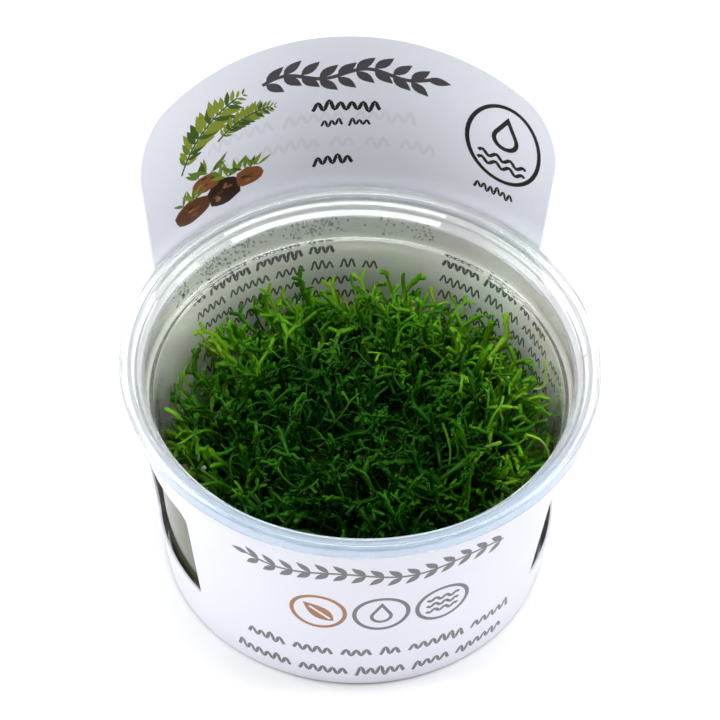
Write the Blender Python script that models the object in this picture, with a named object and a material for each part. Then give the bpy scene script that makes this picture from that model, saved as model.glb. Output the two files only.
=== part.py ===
"""Tissue-culture cup of crystalwort: clear cup, printed sleeve, gel and plant cushion.

Metres, +Z up. The origin is the centre of the cup's resting face, the sleeve's
tall tab stands at +Y and the front of the sleeve faces -Y.
"""

import math
import random

import bmesh
import bpy
import numpy as np

# Clear cup
RIM_RADIUS = 0.0505
CUP_HEIGHT = 0.0580
CUP_WALL = 0.0009
SKIRT_DEPTH = 0.0036
FLANGE_FLAT = 0.0022
FLANGE_PLATE = 0.0011
FLANGE_EDGE = 0.0004
# Radius and depth under the rim of the two gentle slopes inside the lip
LIP_STEPS = ((0.0478, 0.0019), (0.04675, 0.00235), (0.04665, 0.0033), (0.04505, 0.0040))
# Radius and depth under the rim of the lip's outer face, behind those slopes
LIP_BACK = ((0.0459, 0.0048), (0.0468, 0.0043), (0.0473, 0.0038), (0.0474, 0.0032), (0.0484, 0.0027),
            (0.0486, 0.0012))
LIP_FOOT_RADIUS = 0.0449
LEDGE_HEIGHT = 0.0479
LEDGE_RADIUS = 0.0434
LEDGE_ROUND = 0.0004
WALL_FOOT_Z = 0.0031
FLOOR_RADIUS = 0.0397
FLOOR_THICKNESS = 0.0012
CUP_SEGMENTS = 48

# Printed sleeve, a conical sheet with a tall tab behind the rim
SLEEVE_SHEET = 0.00045
SLEEVE_FOOT_Z = 0.0005
SLEEVE_TOP_Z = 0.0538
SLEEVE_FOOT_RADIUS = 0.0414
SLEEVE_TOP_RADIUS = 0.04765
TAB_HALF_ANGLE = 54.0
TAB_ROOT_RADIUS = 0.0518
TAB_LEAN = 0.113
TAB_TOP = 0.0978
TAB_ARC_RADIUS = 0.152
TAB_CORNER = 0.0095
TAB_SKEW = 0.022
TAB_BEND_START = 0.0360
TAB_BLEND_ANGLE = 9.0
WINDOW_ANGLES = (90.0, 124.4)
WINDOW_HEIGHTS = (0.0130, 0.0405)
WINDOW_TOP_CORNER = 0.0030
WINDOW_FOOT_CORNER = 0.0008
WINDOW_CUTTER_REACH = (0.034, 0.058)

# Nutrient gel on the cup's floor
GEL_TOP = 0.0064
GEL_MENISCUS = 0.0006
GEL_CORNER_Z = 0.0036
GEL_SLOPE = 0.0030
GEL_SEGMENTS = 36

# Crystalwort cushion
CUSHION_CENTRE = (-0.0008, 0.0018)
CUSHION_FOOT_RADIUS = 0.0290
CUSHION_WAIST_RADIUS = 0.0325
CUSHION_WAIST_Z = 0.0220
CUSHION_CROWN_Z = 0.0392
CUSHION_LUMPS = 0.0020
CUSHION_GRID = 20
THALLUS_SPACING = 0.0060
TWICE_FORKED_EVERY = 6
THALLUS_FOOT = 0.0010
THALLUS_WIDTH = 0.0024
THALLUS_THICKNESS = 0.0011
THALLUS_LENGTH = (0.0036, 0.0054)
THALLUS_TILT = 0.70
THALLUS_FORK_ANGLE = 27.0
THALLUS_GAP = 0.0019
THALLUS_ATTEMPTS = 24
WALL_MARGIN = 0.0014
TIP_CEILING = 0.0475

CLEARANCE = 0.0003
SEED = 11


def clear_scene():
    for item in list(bpy.data.objects):
        bpy.data.objects.remove(item, do_unlink=True)


def material(name, color, roughness, metallic=0.0):
    mat = bpy.data.materials.new(name)
    mat.use_nodes = True
    shader = mat.node_tree.nodes["Principled BSDF"]
    shader.inputs["Base Color"].default_value = (*color, 1.0)
    shader.inputs["Roughness"].default_value = roughness
    shader.inputs["Metallic"].default_value = metallic
    return mat


def add_object(name, bm, mat, smooth_angle=35.0):
    mesh = bpy.data.meshes.new(name)
    bm.to_mesh(mesh)
    bm.free()
    mesh.materials.append(mat)
    item = bpy.data.objects.new(name, mesh)
    bpy.context.scene.collection.objects.link(item)
    mesh.shade_smooth()
    mesh.set_sharp_from_angle(angle=math.radians(smooth_angle))
    return item


def lerp(a, b, t):
    return a + (b - a) * t


def smoothstep(t):
    t = min(max(t, 0.0), 1.0)
    return t * t * (3.0 - 2.0 * t)


def revolve(profile, segments):
    """Closed solid from an (r, z) profile that starts and ends on the axis."""
    bm = bmesh.new()
    first = bm.verts.new((0.0, 0.0, profile[0][1]))
    last = bm.verts.new((0.0, 0.0, profile[-1][1]))
    rings = []
    for radius, z in profile[1:-1]:
        ring = []
        for i in range(segments):
            angle = 2.0 * math.pi * i / segments
            ring.append(bm.verts.new((radius * math.cos(angle), radius * math.sin(angle), z)))
        rings.append(ring)
    for i in range(segments):
        j = (i + 1) % segments
        bm.faces.new((first, rings[0][j], rings[0][i]))
        bm.faces.new((last, rings[-1][i], rings[-1][j]))
        for low, high in zip(rings, rings[1:]):
            bm.faces.new((low[i], low[j], high[j], high[i]))
    return bm


def cup_profile():
    """Half section: up the outside, over the flange and down the inside."""
    foot = FLOOR_RADIUS + CUP_WALL
    skirt_foot = CUP_HEIGHT - SKIRT_DEPTH
    flat = RIM_RADIUS - FLANGE_EDGE - FLANGE_FLAT
    outside = [
        (0.0, 0.0),
        (foot - 0.0024, 0.0),
        (foot - 0.0007, 0.0006),
        (foot, 0.0021),
        (LEDGE_RADIUS + CUP_WALL, LEDGE_HEIGHT - 0.0014),
        (LEDGE_RADIUS + CUP_WALL + LEDGE_ROUND, LEDGE_HEIGHT - CUP_WALL),
        (LIP_FOOT_RADIUS + 0.0006, LEDGE_HEIGHT - CUP_WALL + 0.0001),
        (LIP_FOOT_RADIUS + CUP_WALL + 0.0001, LEDGE_HEIGHT + 0.0003),
    ]
    outside += [(radius, CUP_HEIGHT - depth) for radius, depth in LIP_BACK]
    rim = [
        (RIM_RADIUS - CUP_WALL, CUP_HEIGHT - FLANGE_PLATE),
        (RIM_RADIUS - CUP_WALL + 0.0001, skirt_foot),
        (RIM_RADIUS - 0.0001, skirt_foot),
        (RIM_RADIUS, skirt_foot + 0.0003),
        (RIM_RADIUS, CUP_HEIGHT - FLANGE_EDGE),
        (RIM_RADIUS - FLANGE_EDGE, CUP_HEIGHT),
        (flat, CUP_HEIGHT),
    ]
    inside = [(radius, CUP_HEIGHT - depth) for radius, depth in LIP_STEPS]
    inside += [
        (LIP_FOOT_RADIUS + 0.0001, LEDGE_HEIGHT + 0.0009),
        (LIP_FOOT_RADIUS - LEDGE_ROUND, LEDGE_HEIGHT + 0.0002),
        (LEDGE_RADIUS + 0.0002, LEDGE_HEIGHT),
        (LEDGE_RADIUS, LEDGE_HEIGHT - LEDGE_ROUND),
        (FLOOR_RADIUS, WALL_FOOT_Z),
        (FLOOR_RADIUS - 0.0006, 0.0018),
        (FLOOR_RADIUS - 0.0020, FLOOR_THICKNESS),
        (0.0, FLOOR_THICKNESS),
    ]
    return outside + rim + inside


def cup_inner_radius(z):
    """Radius of the cup's inner wall below the ledge."""
    t = (z - WALL_FOOT_Z) / (LEDGE_HEIGHT - LEDGE_ROUND - WALL_FOOT_Z)
    return lerp(FLOOR_RADIUS, LEDGE_RADIUS, t)


def sleeve_radius(angle, z):
    """Outer radius of the sleeve at an angle from the tab's middle, in degrees."""
    t = (z - SLEEVE_FOOT_Z) / (SLEEVE_TOP_Z - SLEEVE_FOOT_Z)
    cone = lerp(SLEEVE_FOOT_RADIUS, SLEEVE_TOP_RADIUS, t)
    tab = TAB_ROOT_RADIUS + TAB_LEAN * (z - CUP_HEIGHT)
    rise = smoothstep((z - TAB_BEND_START) / (SLEEVE_TOP_Z - TAB_BEND_START))
    side = 1.0 - smoothstep((abs(angle) - TAB_HALF_ANGLE) / TAB_BLEND_ANGLE)
    return lerp(cone, tab, rise * side)


def tab_top(angle):
    """Height of the tab's edge: a large arc with rounded shoulders, a little askew."""
    across = TAB_ROOT_RADIUS * math.radians(abs(angle))
    half = TAB_ROOT_RADIUS * math.radians(TAB_HALF_ANGLE)
    corner = max(0.0, across - (half - TAB_CORNER))
    shoulder = TAB_CORNER - math.sqrt(max(0.0, TAB_CORNER ** 2 - corner ** 2))
    skew = math.copysign(TAB_SKEW * across, angle)
    return TAB_TOP - across ** 2 / (2.0 * TAB_ARC_RADIUS) - shoulder - skew


def polar(angle, radius, z):
    turn = math.radians(angle)
    return (radius * math.sin(turn), radius * math.cos(turn), z)


def sleeve_columns():
    shoulder = [42.5, 46.5, 49.5, 51.7, 53.2, TAB_HALF_ANGLE]
    tab = [0.0, 9.0, 18.0, 27.0, 35.5] + shoulder
    wrap = [57.0, 60.0, TAB_HALF_ANGLE + TAB_BLEND_ANGLE] + list(np.linspace(71.0, 172.0, 14))
    right = tab + wrap
    left = [-a for a in reversed(right[1:])]
    return left + right + [180.0]


def sleeve_sheet():
    """Closed thin solid: outer and inner skins joined along every free edge."""
    bm = bmesh.new()
    columns = sleeve_columns()
    lower = [SLEEVE_FOOT_Z, 0.0270, TAB_BEND_START, 0.0405, 0.0450, 0.0495, SLEEVE_TOP_Z]
    upper = [0.12, 0.35, 0.65, 1.0]
    skins = {}
    for skin, inset in (("out", 0.0), ("in", SLEEVE_SHEET)):
        grid = []
        for angle in columns:
            heights = list(lower)
            if abs(angle) <= TAB_HALF_ANGLE:
                heights += [lerp(SLEEVE_TOP_Z, tab_top(angle), t) for t in upper]
            grid.append([
                bm.verts.new(polar(angle, sleeve_radius(angle, z) - inset, z)) for z in heights
            ])
        skins[skin] = grid
    outer, inner = skins["out"], skins["in"]
    count = len(columns)
    for i in range(count):
        j = (i + 1) % count
        rows = min(len(outer[i]), len(outer[j]))
        for k in range(rows - 1):
            bm.faces.new((outer[i][k], outer[i][k + 1], outer[j][k + 1], outer[j][k]))
            bm.faces.new((inner[i][k], inner[j][k], inner[j][k + 1], inner[i][k + 1]))
        top = rows - 1
        bm.faces.new((outer[i][0], outer[j][0], inner[j][0], inner[i][0]))
        bm.faces.new((outer[i][top], inner[i][top], inner[j][top], outer[j][top]))
    for column in (columns.index(-TAB_HALF_ANGLE), columns.index(TAB_HALF_ANGLE)):
        for k in range(len(lower) - 1, len(outer[column]) - 1):
            bm.faces.new((outer[column][k], outer[column][k + 1],
                          inner[column][k + 1], inner[column][k]))
    bmesh.ops.recalc_face_normals(bm, faces=bm.faces)
    return bm


def window_outline():
    """Rounded rectangle of a side window, as (across, height) points."""
    low, high = WINDOW_HEIGHTS
    middle_radius = sleeve_radius(180.0, (low + high) / 2.0)
    half = middle_radius * math.sin(math.radians((WINDOW_ANGLES[1] - WINDOW_ANGLES[0]) / 2.0))
    corners = [
        (half, low, WINDOW_FOOT_CORNER, -90.0),
        (half, high, WINDOW_TOP_CORNER, 0.0),
        (-half, high, WINDOW_TOP_CORNER, 90.0),
        (-half, low, WINDOW_FOOT_CORNER, 180.0),
    ]
    points = []
    for x, z, radius, start in corners:
        cx = x - math.copysign(radius, x)
        cz = z + radius if z == low else z - radius
        for step in range(4):
            turn = math.radians(start + 30.0 * step)
            points.append((cx + radius * math.cos(turn), cz + radius * math.sin(turn)))
    return points


def window_cutter(side):
    """Prism that cuts one window, pointing out from the axis."""
    bm = bmesh.new()
    middle = math.radians(side * sum(WINDOW_ANGLES) / 2.0)
    out = np.array([math.sin(middle), math.cos(middle)])
    along = np.array([out[1], -out[0]])
    ends = []
    for reach in WINDOW_CUTTER_REACH:
        ring = []
        for across, z in window_outline():
            x, y = out * reach + along * across
            ring.append(bm.verts.new((x, y, z)))
        ends.append(ring)
    bm.faces.new(ends[0])
    bm.faces.new(list(reversed(ends[1])))
    count = len(ends[0])
    for i in range(count):
        j = (i + 1) % count
        bm.faces.new((ends[0][i], ends[1][i], ends[1][j], ends[0][j]))
    bmesh.ops.recalc_face_normals(bm, faces=bm.faces)
    cutter = add_object("window_cutter", bm, bpy.data.materials["print_white"])
    cutter.hide_render = True
    cutter.display_type = "WIRE"
    return cutter


def cut(item, cutter):
    step = item.modifiers.new("window", "BOOLEAN")
    step.operation = "DIFFERENCE"
    step.solver = "EXACT"
    step.object = cutter


def gel_profile():
    edge = cup_inner_radius(GEL_TOP) - CLEARANCE
    foot = FLOOR_THICKNESS + CLEARANCE
    return [
        (0.0, foot),
        (FLOOR_RADIUS - 0.0025, foot),
        (FLOOR_RADIUS - 0.0011, foot + 0.0009),
        (cup_inner_radius(GEL_CORNER_Z) - CLEARANCE, GEL_CORNER_Z),
        (edge, GEL_TOP + GEL_MENISCUS),
        (edge - 0.4 * GEL_SLOPE, GEL_TOP + 0.0001),
        (edge - GEL_SLOPE, GEL_TOP),
        (0.0, GEL_TOP),
    ]


def cushion_section():
    """Half section of the cushion's core as (r, z) points, crown to foot."""
    points = []
    for step in range(25):
        turn = math.radians(90.0 * step / 24.0)
        points.append((CUSHION_WAIST_RADIUS * math.sin(turn) ** 0.92,
                       lerp(CUSHION_WAIST_Z, CUSHION_CROWN_Z, math.cos(turn) ** 0.75)))
    foot = GEL_TOP + CLEARANCE
    for step in range(1, 9):
        t = step / 8.0
        points.append((lerp(CUSHION_WAIST_RADIUS, CUSHION_FOOT_RADIUS, t ** 2.2),
                       lerp(CUSHION_WAIST_Z, foot, t)))
    return np.array(points)


def along_section(outline, t):
    """Point a share t of the way along the half section's length."""
    steps = np.hypot(*np.diff(outline, axis=0).T)
    run = np.concatenate([[0.0], np.cumsum(steps)])
    run /= run[-1]
    return np.interp(t, run, outline[:, 0]), np.interp(t, run, outline[:, 1])


def lump(x, y, z):
    """Smooth unevenness of the plant mass, between about -1 and 1."""
    return (math.sin(330.0 * x + 1.3) * math.cos(290.0 * y - 0.4)
            + 0.6 * math.sin(610.0 * y + 420.0 * z)
            + 0.5 * math.cos(540.0 * x - 480.0 * z + 0.8)) / 2.1


def disc_point(i, j):
    """Grid corner i, j of a square, moved onto a disc of radius 1."""
    u = 2.0 * i / CUSHION_GRID - 1.0
    v = 2.0 * j / CUSHION_GRID - 1.0
    return u * math.sqrt(1.0 - v * v / 2.0), v * math.sqrt(1.0 - u * u / 2.0)


def cushion_core(bm):
    """Quads of the dome, over a flat foot; returns the quads by grid place."""
    outline = cushion_section()
    corners = {}
    for i in range(CUSHION_GRID + 1):
        for j in range(CUSHION_GRID + 1):
            u, v = disc_point(i, j)
            share = math.hypot(u, v)
            turn = math.atan2(v, u)
            radius, z = along_section(outline, share)
            x, y = radius * math.cos(turn), radius * math.sin(turn)
            if 0 < i < CUSHION_GRID and 0 < j < CUSHION_GRID:
                bump = CUSHION_LUMPS * lump(x, y, z)
                x += bump * math.cos(turn) * share
                y += bump * math.sin(turn) * share
                z += bump * (1.0 - share)
            corners[i, j] = bm.verts.new((x + CUSHION_CENTRE[0], y + CUSHION_CENTRE[1], z))
    quads = {}
    for i in range(CUSHION_GRID):
        for j in range(CUSHION_GRID):
            quads[i, j] = bm.faces.new((corners[i, j], corners[i + 1, j],
                                        corners[i + 1, j + 1], corners[i, j + 1]))
    edge = [corners[i, 0] for i in range(CUSHION_GRID)]
    edge += [corners[CUSHION_GRID, j] for j in range(CUSHION_GRID)]
    edge += [corners[i, CUSHION_GRID] for i in range(CUSHION_GRID, 0, -1)]
    edge += [corners[0, j] for j in range(CUSHION_GRID, 0, -1)]
    bm.faces.new(list(reversed(edge)))
    return quads


def unit(vector):
    return vector / np.linalg.norm(vector)


def plan_stretch(start, direction, across, length, width, forks, rng):
    """One straight stretch of a thallus and, past its fork, the two arms."""
    thick = np.cross(direction, across)
    end = start + direction * length
    swell = 1.2 if forks else 0.75
    arms = []
    for sign in (-1.0, 1.0) if forks else ():
        spread = math.radians(THALLUS_FORK_ANGLE * rng.uniform(0.7, 1.3))
        lift = rng.uniform(-0.35, 0.35)
        arm = unit(direction * math.cos(spread) + across * (sign * math.sin(spread)) + thick * lift)
        arm_across = across * math.cos(spread) - direction * (sign * math.sin(spread))
        arm_across = unit(arm_across - arm * arm_across.dot(arm))
        origin = end + across * (sign * width * swell / 4.0)
        arms.append(plan_stretch(origin, arm, arm_across, length * rng.uniform(0.65, 0.95),
                                 width * 0.72, forks - 1, rng))
    return {"start": start, "end": end, "across": across, "thick": thick,
            "width": width * swell, "arms": arms}


def plan_thallus(quad, forks, rng):
    centre = np.array(quad.calc_center_median())
    tilt = np.array([rng.uniform(-1.0, 1.0), rng.uniform(-1.0, 1.0), rng.uniform(-0.2, 0.8)])
    direction = unit(np.array(quad.normal) + THALLUS_TILT * tilt)
    side = np.array(quad.loops[1].vert.co) - np.array(quad.loops[0].vert.co)
    across = unit(side - direction * side.dot(direction))
    foot = centre + direction * THALLUS_FOOT
    return plan_stretch(foot, direction, across, rng.uniform(*THALLUS_LENGTH),
                        THALLUS_WIDTH, forks, rng)


def stations(plan):
    """Points along every stretch of a planned thallus."""
    points = [lerp(plan["start"], plan["end"], t) for t in (0.3, 0.65, 1.0)]
    for arm in plan["arms"]:
        points += stations(arm)
    return points


def in_the_cup(points):
    """True where every point is clear of the wall, the gel and the ceiling."""
    for x, y, z in points:
        if not GEL_TOP + 0.0016 < z < TIP_CEILING:
            return False
        if math.hypot(x, y) > cup_inner_radius(z) - WALL_MARGIN:
            return False
    return True


def apart(points, others, spacing):
    if not len(others):
        return True
    gaps = np.linalg.norm(np.array(points)[:, None] - np.array(others)[None], axis=2)
    return gaps.min() > spacing


def bridge(bm, low, high):
    for k in range(4):
        m = (k + 1) % 4
        bm.faces.new((low[k], low[m], high[m], high[k]))


def section(bm, centre, across, thick, width, thickness):
    """Four corners of a flat thallus's section, in the base quad's order."""
    corners = ((-1, -1), (1, -1), (1, 1), (-1, 1))
    return [bm.verts.new(tuple(centre + across * (a * width / 2.0) + thick * (b * thickness / 2.0)))
            for a, b in corners]


def grow(bm, base, plan):
    """Mesh a planned stretch from its base ring, then its arms or a blunt end."""
    ring = section(bm, plan["end"], plan["across"], plan["thick"], plan["width"], THALLUS_THICKNESS)
    if not plan["arms"]:
        bridge(bm, base, ring)
        bm.faces.new(ring)
        return
    front = bm.verts.new((ring[0].co + ring[1].co) / 2.0)
    back = bm.verts.new((ring[2].co + ring[3].co) / 2.0)
    bm.faces.new((base[0], base[1], ring[1], front, ring[0]))
    bm.faces.new((base[1], base[2], ring[2], ring[1]))
    bm.faces.new((base[2], base[3], ring[3], back, ring[2]))
    bm.faces.new((base[3], base[0], ring[0], ring[3]))
    grow(bm, (ring[0], front, back, ring[3]), plan["arms"][0])
    grow(bm, (front, ring[1], ring[2], back), plan["arms"][1])


def thallus(bm, quad, plan):
    """Join a planned thallus to the core in place of one of its quads."""
    base = [loop.vert for loop in quad.loops]
    bm.faces.remove(quad)
    root = section(bm, plan["start"], plan["across"], plan["thick"],
                   THALLUS_WIDTH, THALLUS_THICKNESS * 1.3)
    bridge(bm, base, root)
    grow(bm, root, plan)


def cushion_solid():
    """The dome with thalli grown out of it wherever one has room."""
    rng = random.Random(SEED)
    bm = bmesh.new()
    quads = cushion_core(bm)
    bm.normal_update()
    core = [np.array(vert.co) for vert in bm.verts]
    keys = [key for key in quads if min(key) > 0 and max(key) < CUSHION_GRID - 1]
    rng.shuffle(keys)
    filled, roots, plans = [], [], {}
    for key in keys:
        if not apart([np.array(quads[key].calc_center_median())], roots, THALLUS_SPACING):
            continue
        for attempt in range(THALLUS_ATTEMPTS):
            forks = 1 if len(plans) % TWICE_FORKED_EVERY or attempt > THALLUS_ATTEMPTS // 2 else 2
            plan = plan_thallus(quads[key], forks, rng)
            points = stations(plan)
            if (in_the_cup(points) and apart(points, filled, THALLUS_GAP)
                    and apart(points[2:], core, THALLUS_GAP)):
                plans[key] = plan
                filled += points
                roots.append(np.array(quads[key].calc_center_median()))
                break
    for key, plan in plans.items():
        thallus(bm, quads[key], plan)
    return bm


def build():
    clear_scene()
    clear = material("clear_plastic", (0.82, 0.87, 0.90), 0.08)
    white = material("print_white", (0.84, 0.84, 0.87), 0.38)
    gel = material("pale_gel", (0.52, 0.46, 0.37), 0.20)
    green = material("crystalwort_green", (0.07, 0.25, 0.02), 0.40)
    add_object("clear_cup", revolve(cup_profile(), CUP_SEGMENTS), clear)
    sleeve = add_object("label_sleeve", sleeve_sheet(), white)
    for side in (-1, 1):
        cut(sleeve, window_cutter(side))
    add_object("nutrient_gel", revolve(gel_profile(), GEL_SEGMENTS), gel)
    add_object("crystalwort_cushion", cushion_solid(), green)


build()
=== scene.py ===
import math
import random

import bmesh
import bpy
import numpy as np
from mathutils import Matrix, Quaternion, Vector
from mathutils.geometry import delaunay_2d_cdt


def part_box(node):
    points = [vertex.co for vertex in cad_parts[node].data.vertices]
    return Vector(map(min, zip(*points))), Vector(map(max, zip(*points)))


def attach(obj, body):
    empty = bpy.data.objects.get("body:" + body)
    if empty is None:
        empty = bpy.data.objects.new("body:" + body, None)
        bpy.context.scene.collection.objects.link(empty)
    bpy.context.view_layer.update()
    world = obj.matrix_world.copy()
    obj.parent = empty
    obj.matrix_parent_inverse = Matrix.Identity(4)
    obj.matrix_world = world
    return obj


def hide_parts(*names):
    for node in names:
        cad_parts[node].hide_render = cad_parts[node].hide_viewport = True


# Metres, +Z up. The cup rests at the origin, the tall tab is at +Y and the printed front faces -Y.
# Angles round the cup are in degrees from +Y towards +X.
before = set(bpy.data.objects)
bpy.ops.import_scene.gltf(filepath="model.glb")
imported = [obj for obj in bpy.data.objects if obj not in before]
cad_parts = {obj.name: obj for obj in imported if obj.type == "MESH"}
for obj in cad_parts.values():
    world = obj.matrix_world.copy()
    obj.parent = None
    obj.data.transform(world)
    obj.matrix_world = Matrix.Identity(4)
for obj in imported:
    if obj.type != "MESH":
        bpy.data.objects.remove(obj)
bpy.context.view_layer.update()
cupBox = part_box("clear_cup")
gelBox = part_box("nutrient_gel")
rimRadius = cupBox[1].x
cupHeight = cupBox[1].z
print("frame loaded")


# Small helpers

def linear(red, green, blue):
    # an 8-bit display colour as the shader's linear colour
    return tuple(((c / 255.0 + 0.055) / 1.055) ** 2.4 for c in (red, green, blue)) + (1.0,)


def lerp(a, b, t):
    return a + (b - a) * t


def smoothstep(t):
    t = min(max(t, 0.0), 1.0)
    return t * t * (3.0 - 2.0 * t)


def polar(angle, radius, z):
    turn = math.radians(angle)
    return Vector((radius * math.sin(turn), radius * math.cos(turn), z))


def addPiece(name, mesh, finish=None, sharpAngle=None):
    piece = bpy.data.objects.new(name, mesh)
    bpy.context.scene.collection.objects.link(piece)
    if finish:
        mesh.materials.append(finish)
    if sharpAngle:
        mesh.shade_smooth()
        mesh.set_sharp_from_angle(angle=math.radians(sharpAngle))
    return piece


def meshFrom(name, bm):
    mesh = bpy.data.meshes.new(name)
    bm.to_mesh(mesh)
    bm.free()
    return mesh

def tell(piece):
    print(piece.name, "has", sum(len(face.vertices) - 2 for face in piece.data.polygons), "triangles")


# Node values as Python expressions

class Flow:
    # a value in a node tree: sums on it add Math nodes
    def __init__(self, nodes, socket):
        self.nodes = nodes
        self.socket = socket

    def math(self, operation, *values):
        return self.nodes.flow(0, "ShaderNodeMath", {"operation": operation}, dict(enumerate(values)))

    def __add__(self, other):
        return self.math("ADD", self, other)

    def __radd__(self, other):
        return self.math("ADD", other, self)

    def __sub__(self, other):
        return self.math("SUBTRACT", self, other)

    def __rsub__(self, other):
        return self.math("SUBTRACT", other, self)

    def __mul__(self, other):
        return self.math("MULTIPLY", self, other)

    def __rmul__(self, other):
        return self.math("MULTIPLY", other, self)

    def __truediv__(self, other):
        return self.math("DIVIDE", self, other)

    def __pow__(self, other):
        return self.math("POWER", self, other)

    def least(self, other):
        return self.math("MINIMUM", self, other)

    def most(self, other):
        return self.math("MAXIMUM", self, other)

    def ramp(self, low, high, first=0.0, last=1.0):
        # first at low, last at high, smooth between
        return self.nodes.flow("Result", "ShaderNodeMapRange", {"interpolation_type": "SMOOTHSTEP"},
                               {"Value": self, "From Min": low, "From Max": high,
                                "To Min": first, "To Max": last})


class Nodes:
    # a node tree, and one way to add any node to it
    def __init__(self, tree):
        self.tree = tree

    def add(self, kind, settings=None, sockets=None):
        made = self.tree.nodes.new(kind)
        for name, value in (settings or {}).items():
            setattr(made, name, value)
        for name, value in (sockets or {}).items():
            self.feed(made.inputs[name], value)
        return made

    def feed(self, socket, value):
        if isinstance(value, Flow):
            value = value.socket
        if isinstance(value, bpy.types.NodeSocket):
            self.tree.links.new(value, socket)
        else:
            socket.default_value = value

    def flow(self, output, kind, settings=None, sockets=None):
        return Flow(self, self.add(kind, settings, sockets).outputs[output])

    def axes(self, place):
        made = self.add("ShaderNodeSeparateXYZ", {}, {"Vector": place})
        return [Flow(self, made.outputs[axis]) for axis in "XYZ"]


class Finish(Nodes):
    # a Principled material and the nodes that feed it
    def __init__(self, name):
        self.material = bpy.data.materials.new(name)
        self.material.use_nodes = True
        super().__init__(self.material.node_tree)
        self.shader = self.tree.nodes["Principled BSDF"]
        self.place = self.add("ShaderNodeTexCoord").outputs["Object"]

    def noise(self, scale, detail=2.0, stretch=None):
        place = self.place
        if stretch:
            place = self.flow(0, "ShaderNodeMapping", {}, {"Vector": place, "Scale": stretch})
        return self.flow("Fac", "ShaderNodeTexNoise", {},
                         {"Vector": place, "Scale": scale, "Detail": detail})

    def attribute(self, name, output="Fac"):
        return self.flow(output, "ShaderNodeAttribute", {"attribute_name": name})

    def mix(self, share, first, second, blend="MIX"):
        return self.flow(2, "ShaderNodeMix", {"data_type": "RGBA", "blend_type": blend},
                         {0: share, 6: first, 7: second})

    def bump(self, height, distance, strength=1.0, **under):
        return self.flow("Normal", "ShaderNodeBump", {},
                         {"Height": height, "Distance": distance, "Strength": strength, **under})

    def set(self, **sockets):
        for name, value in sockets.items():
            self.feed(self.shader.inputs[shaderSockets[name]], value)
        return self.material


shaderSockets = {
    "color": "Base Color", "roughness": "Roughness", "ior": "IOR", "transmission": "Transmission Weight",
    "coat": "Coat Weight", "coatRoughness": "Coat Roughness", "normal": "Normal",
    "specular": "Specular IOR Level", "gloss": "Specular Tint", "subsurface": "Subsurface Weight",
    "subsurfaceRadius": "Subsurface Radius", "subsurfaceScale": "Subsurface Scale",
}


class Recipe(Nodes):
    # a Geometry Nodes tree with named inputs, laid on a mesh and turned into plain mesh
    def __init__(self, name, inputs):
        super().__init__(bpy.data.node_groups.new(name, "GeometryNodeTree"))
        newSocket = self.tree.interface.new_socket
        newSocket("Geometry", in_out="INPUT", socket_type="NodeSocketGeometry")
        self.sockets = {}
        for label, (kind, value) in inputs.items():
            socket = newSocket(label, in_out="INPUT", socket_type="NodeSocket" + kind)
            self.sockets[label] = (socket.identifier, value)
        newSocket("Geometry", in_out="OUTPUT", socket_type="NodeSocketGeometry")
        self.start = self.tree.nodes.new("NodeGroupInput")
        self.end = self.tree.nodes.new("NodeGroupOutput")

    def given(self, label):
        return Flow(self, self.start.outputs[label])

    def vector(self, operation, *vectors, **scale):
        return self.flow("Value" if operation == "LENGTH" else "Vector", "ShaderNodeVectorMath",
                         {"operation": operation}, {**dict(enumerate(vectors)), **scale})

    def point(self, **axes):
        return self.flow(0, "ShaderNodeCombineXYZ", {}, axes)

    def random(self, low, high, seed, kind="FLOAT"):
        return self.flow("Value", "FunctionNodeRandomValue", {"data_type": kind},
                         {"Min": low, "Max": high, "Seed": seed})

    def cloud(self, place, scale):
        return self.flow(0, "ShaderNodeTexNoise", {}, {"Vector": place, "Scale": scale, "Detail": 1.0})

    def scatter(self, density):
        made = self.add("GeometryNodeDistributePointsOnFaces", {"distribute_method": "RANDOM"},
                        {"Mesh": self.given("Geometry"), "Density": density, "Seed": self.given("Seed")})
        return made.outputs["Points"], made.outputs["Normal"]

    def aim(self, towards):
        return self.flow(0, "FunctionNodeAlignRotationToVector", {"axis": "Z"}, {"Vector": towards})

    def real(self, geometry):
        return self.flow(0, "GeometryNodeRealizeInstances", {}, {"Geometry": geometry})

    def close(self, geometry):
        painted = self.add("GeometryNodeSetMaterial", {},
                           {"Geometry": geometry, "Material": self.given("Finish")})
        self.tree.links.new(painted.outputs[0], self.end.inputs[0])

    def grow(self, name, mesh, changes):
        # lays the recipe on a mesh and returns the result as a plain object
        carrier = bpy.data.objects.new(name, mesh)
        bpy.context.scene.collection.objects.link(carrier)
        modifier = carrier.modifiers.new("recipe", "NODES")
        modifier.node_group = self.tree
        for label, (identifier, value) in self.sockets.items():
            modifier[identifier] = changes.get(label, value)
        shown = carrier.evaluated_get(bpy.context.evaluated_depsgraph_get())
        result = bpy.data.meshes.new_from_object(shown)
        result.name = name
        carrier.modifiers.remove(modifier)
        carrier.data = result
        return carrier


# Finishes

speckPlace = (0.0476, -0.0003)


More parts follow.
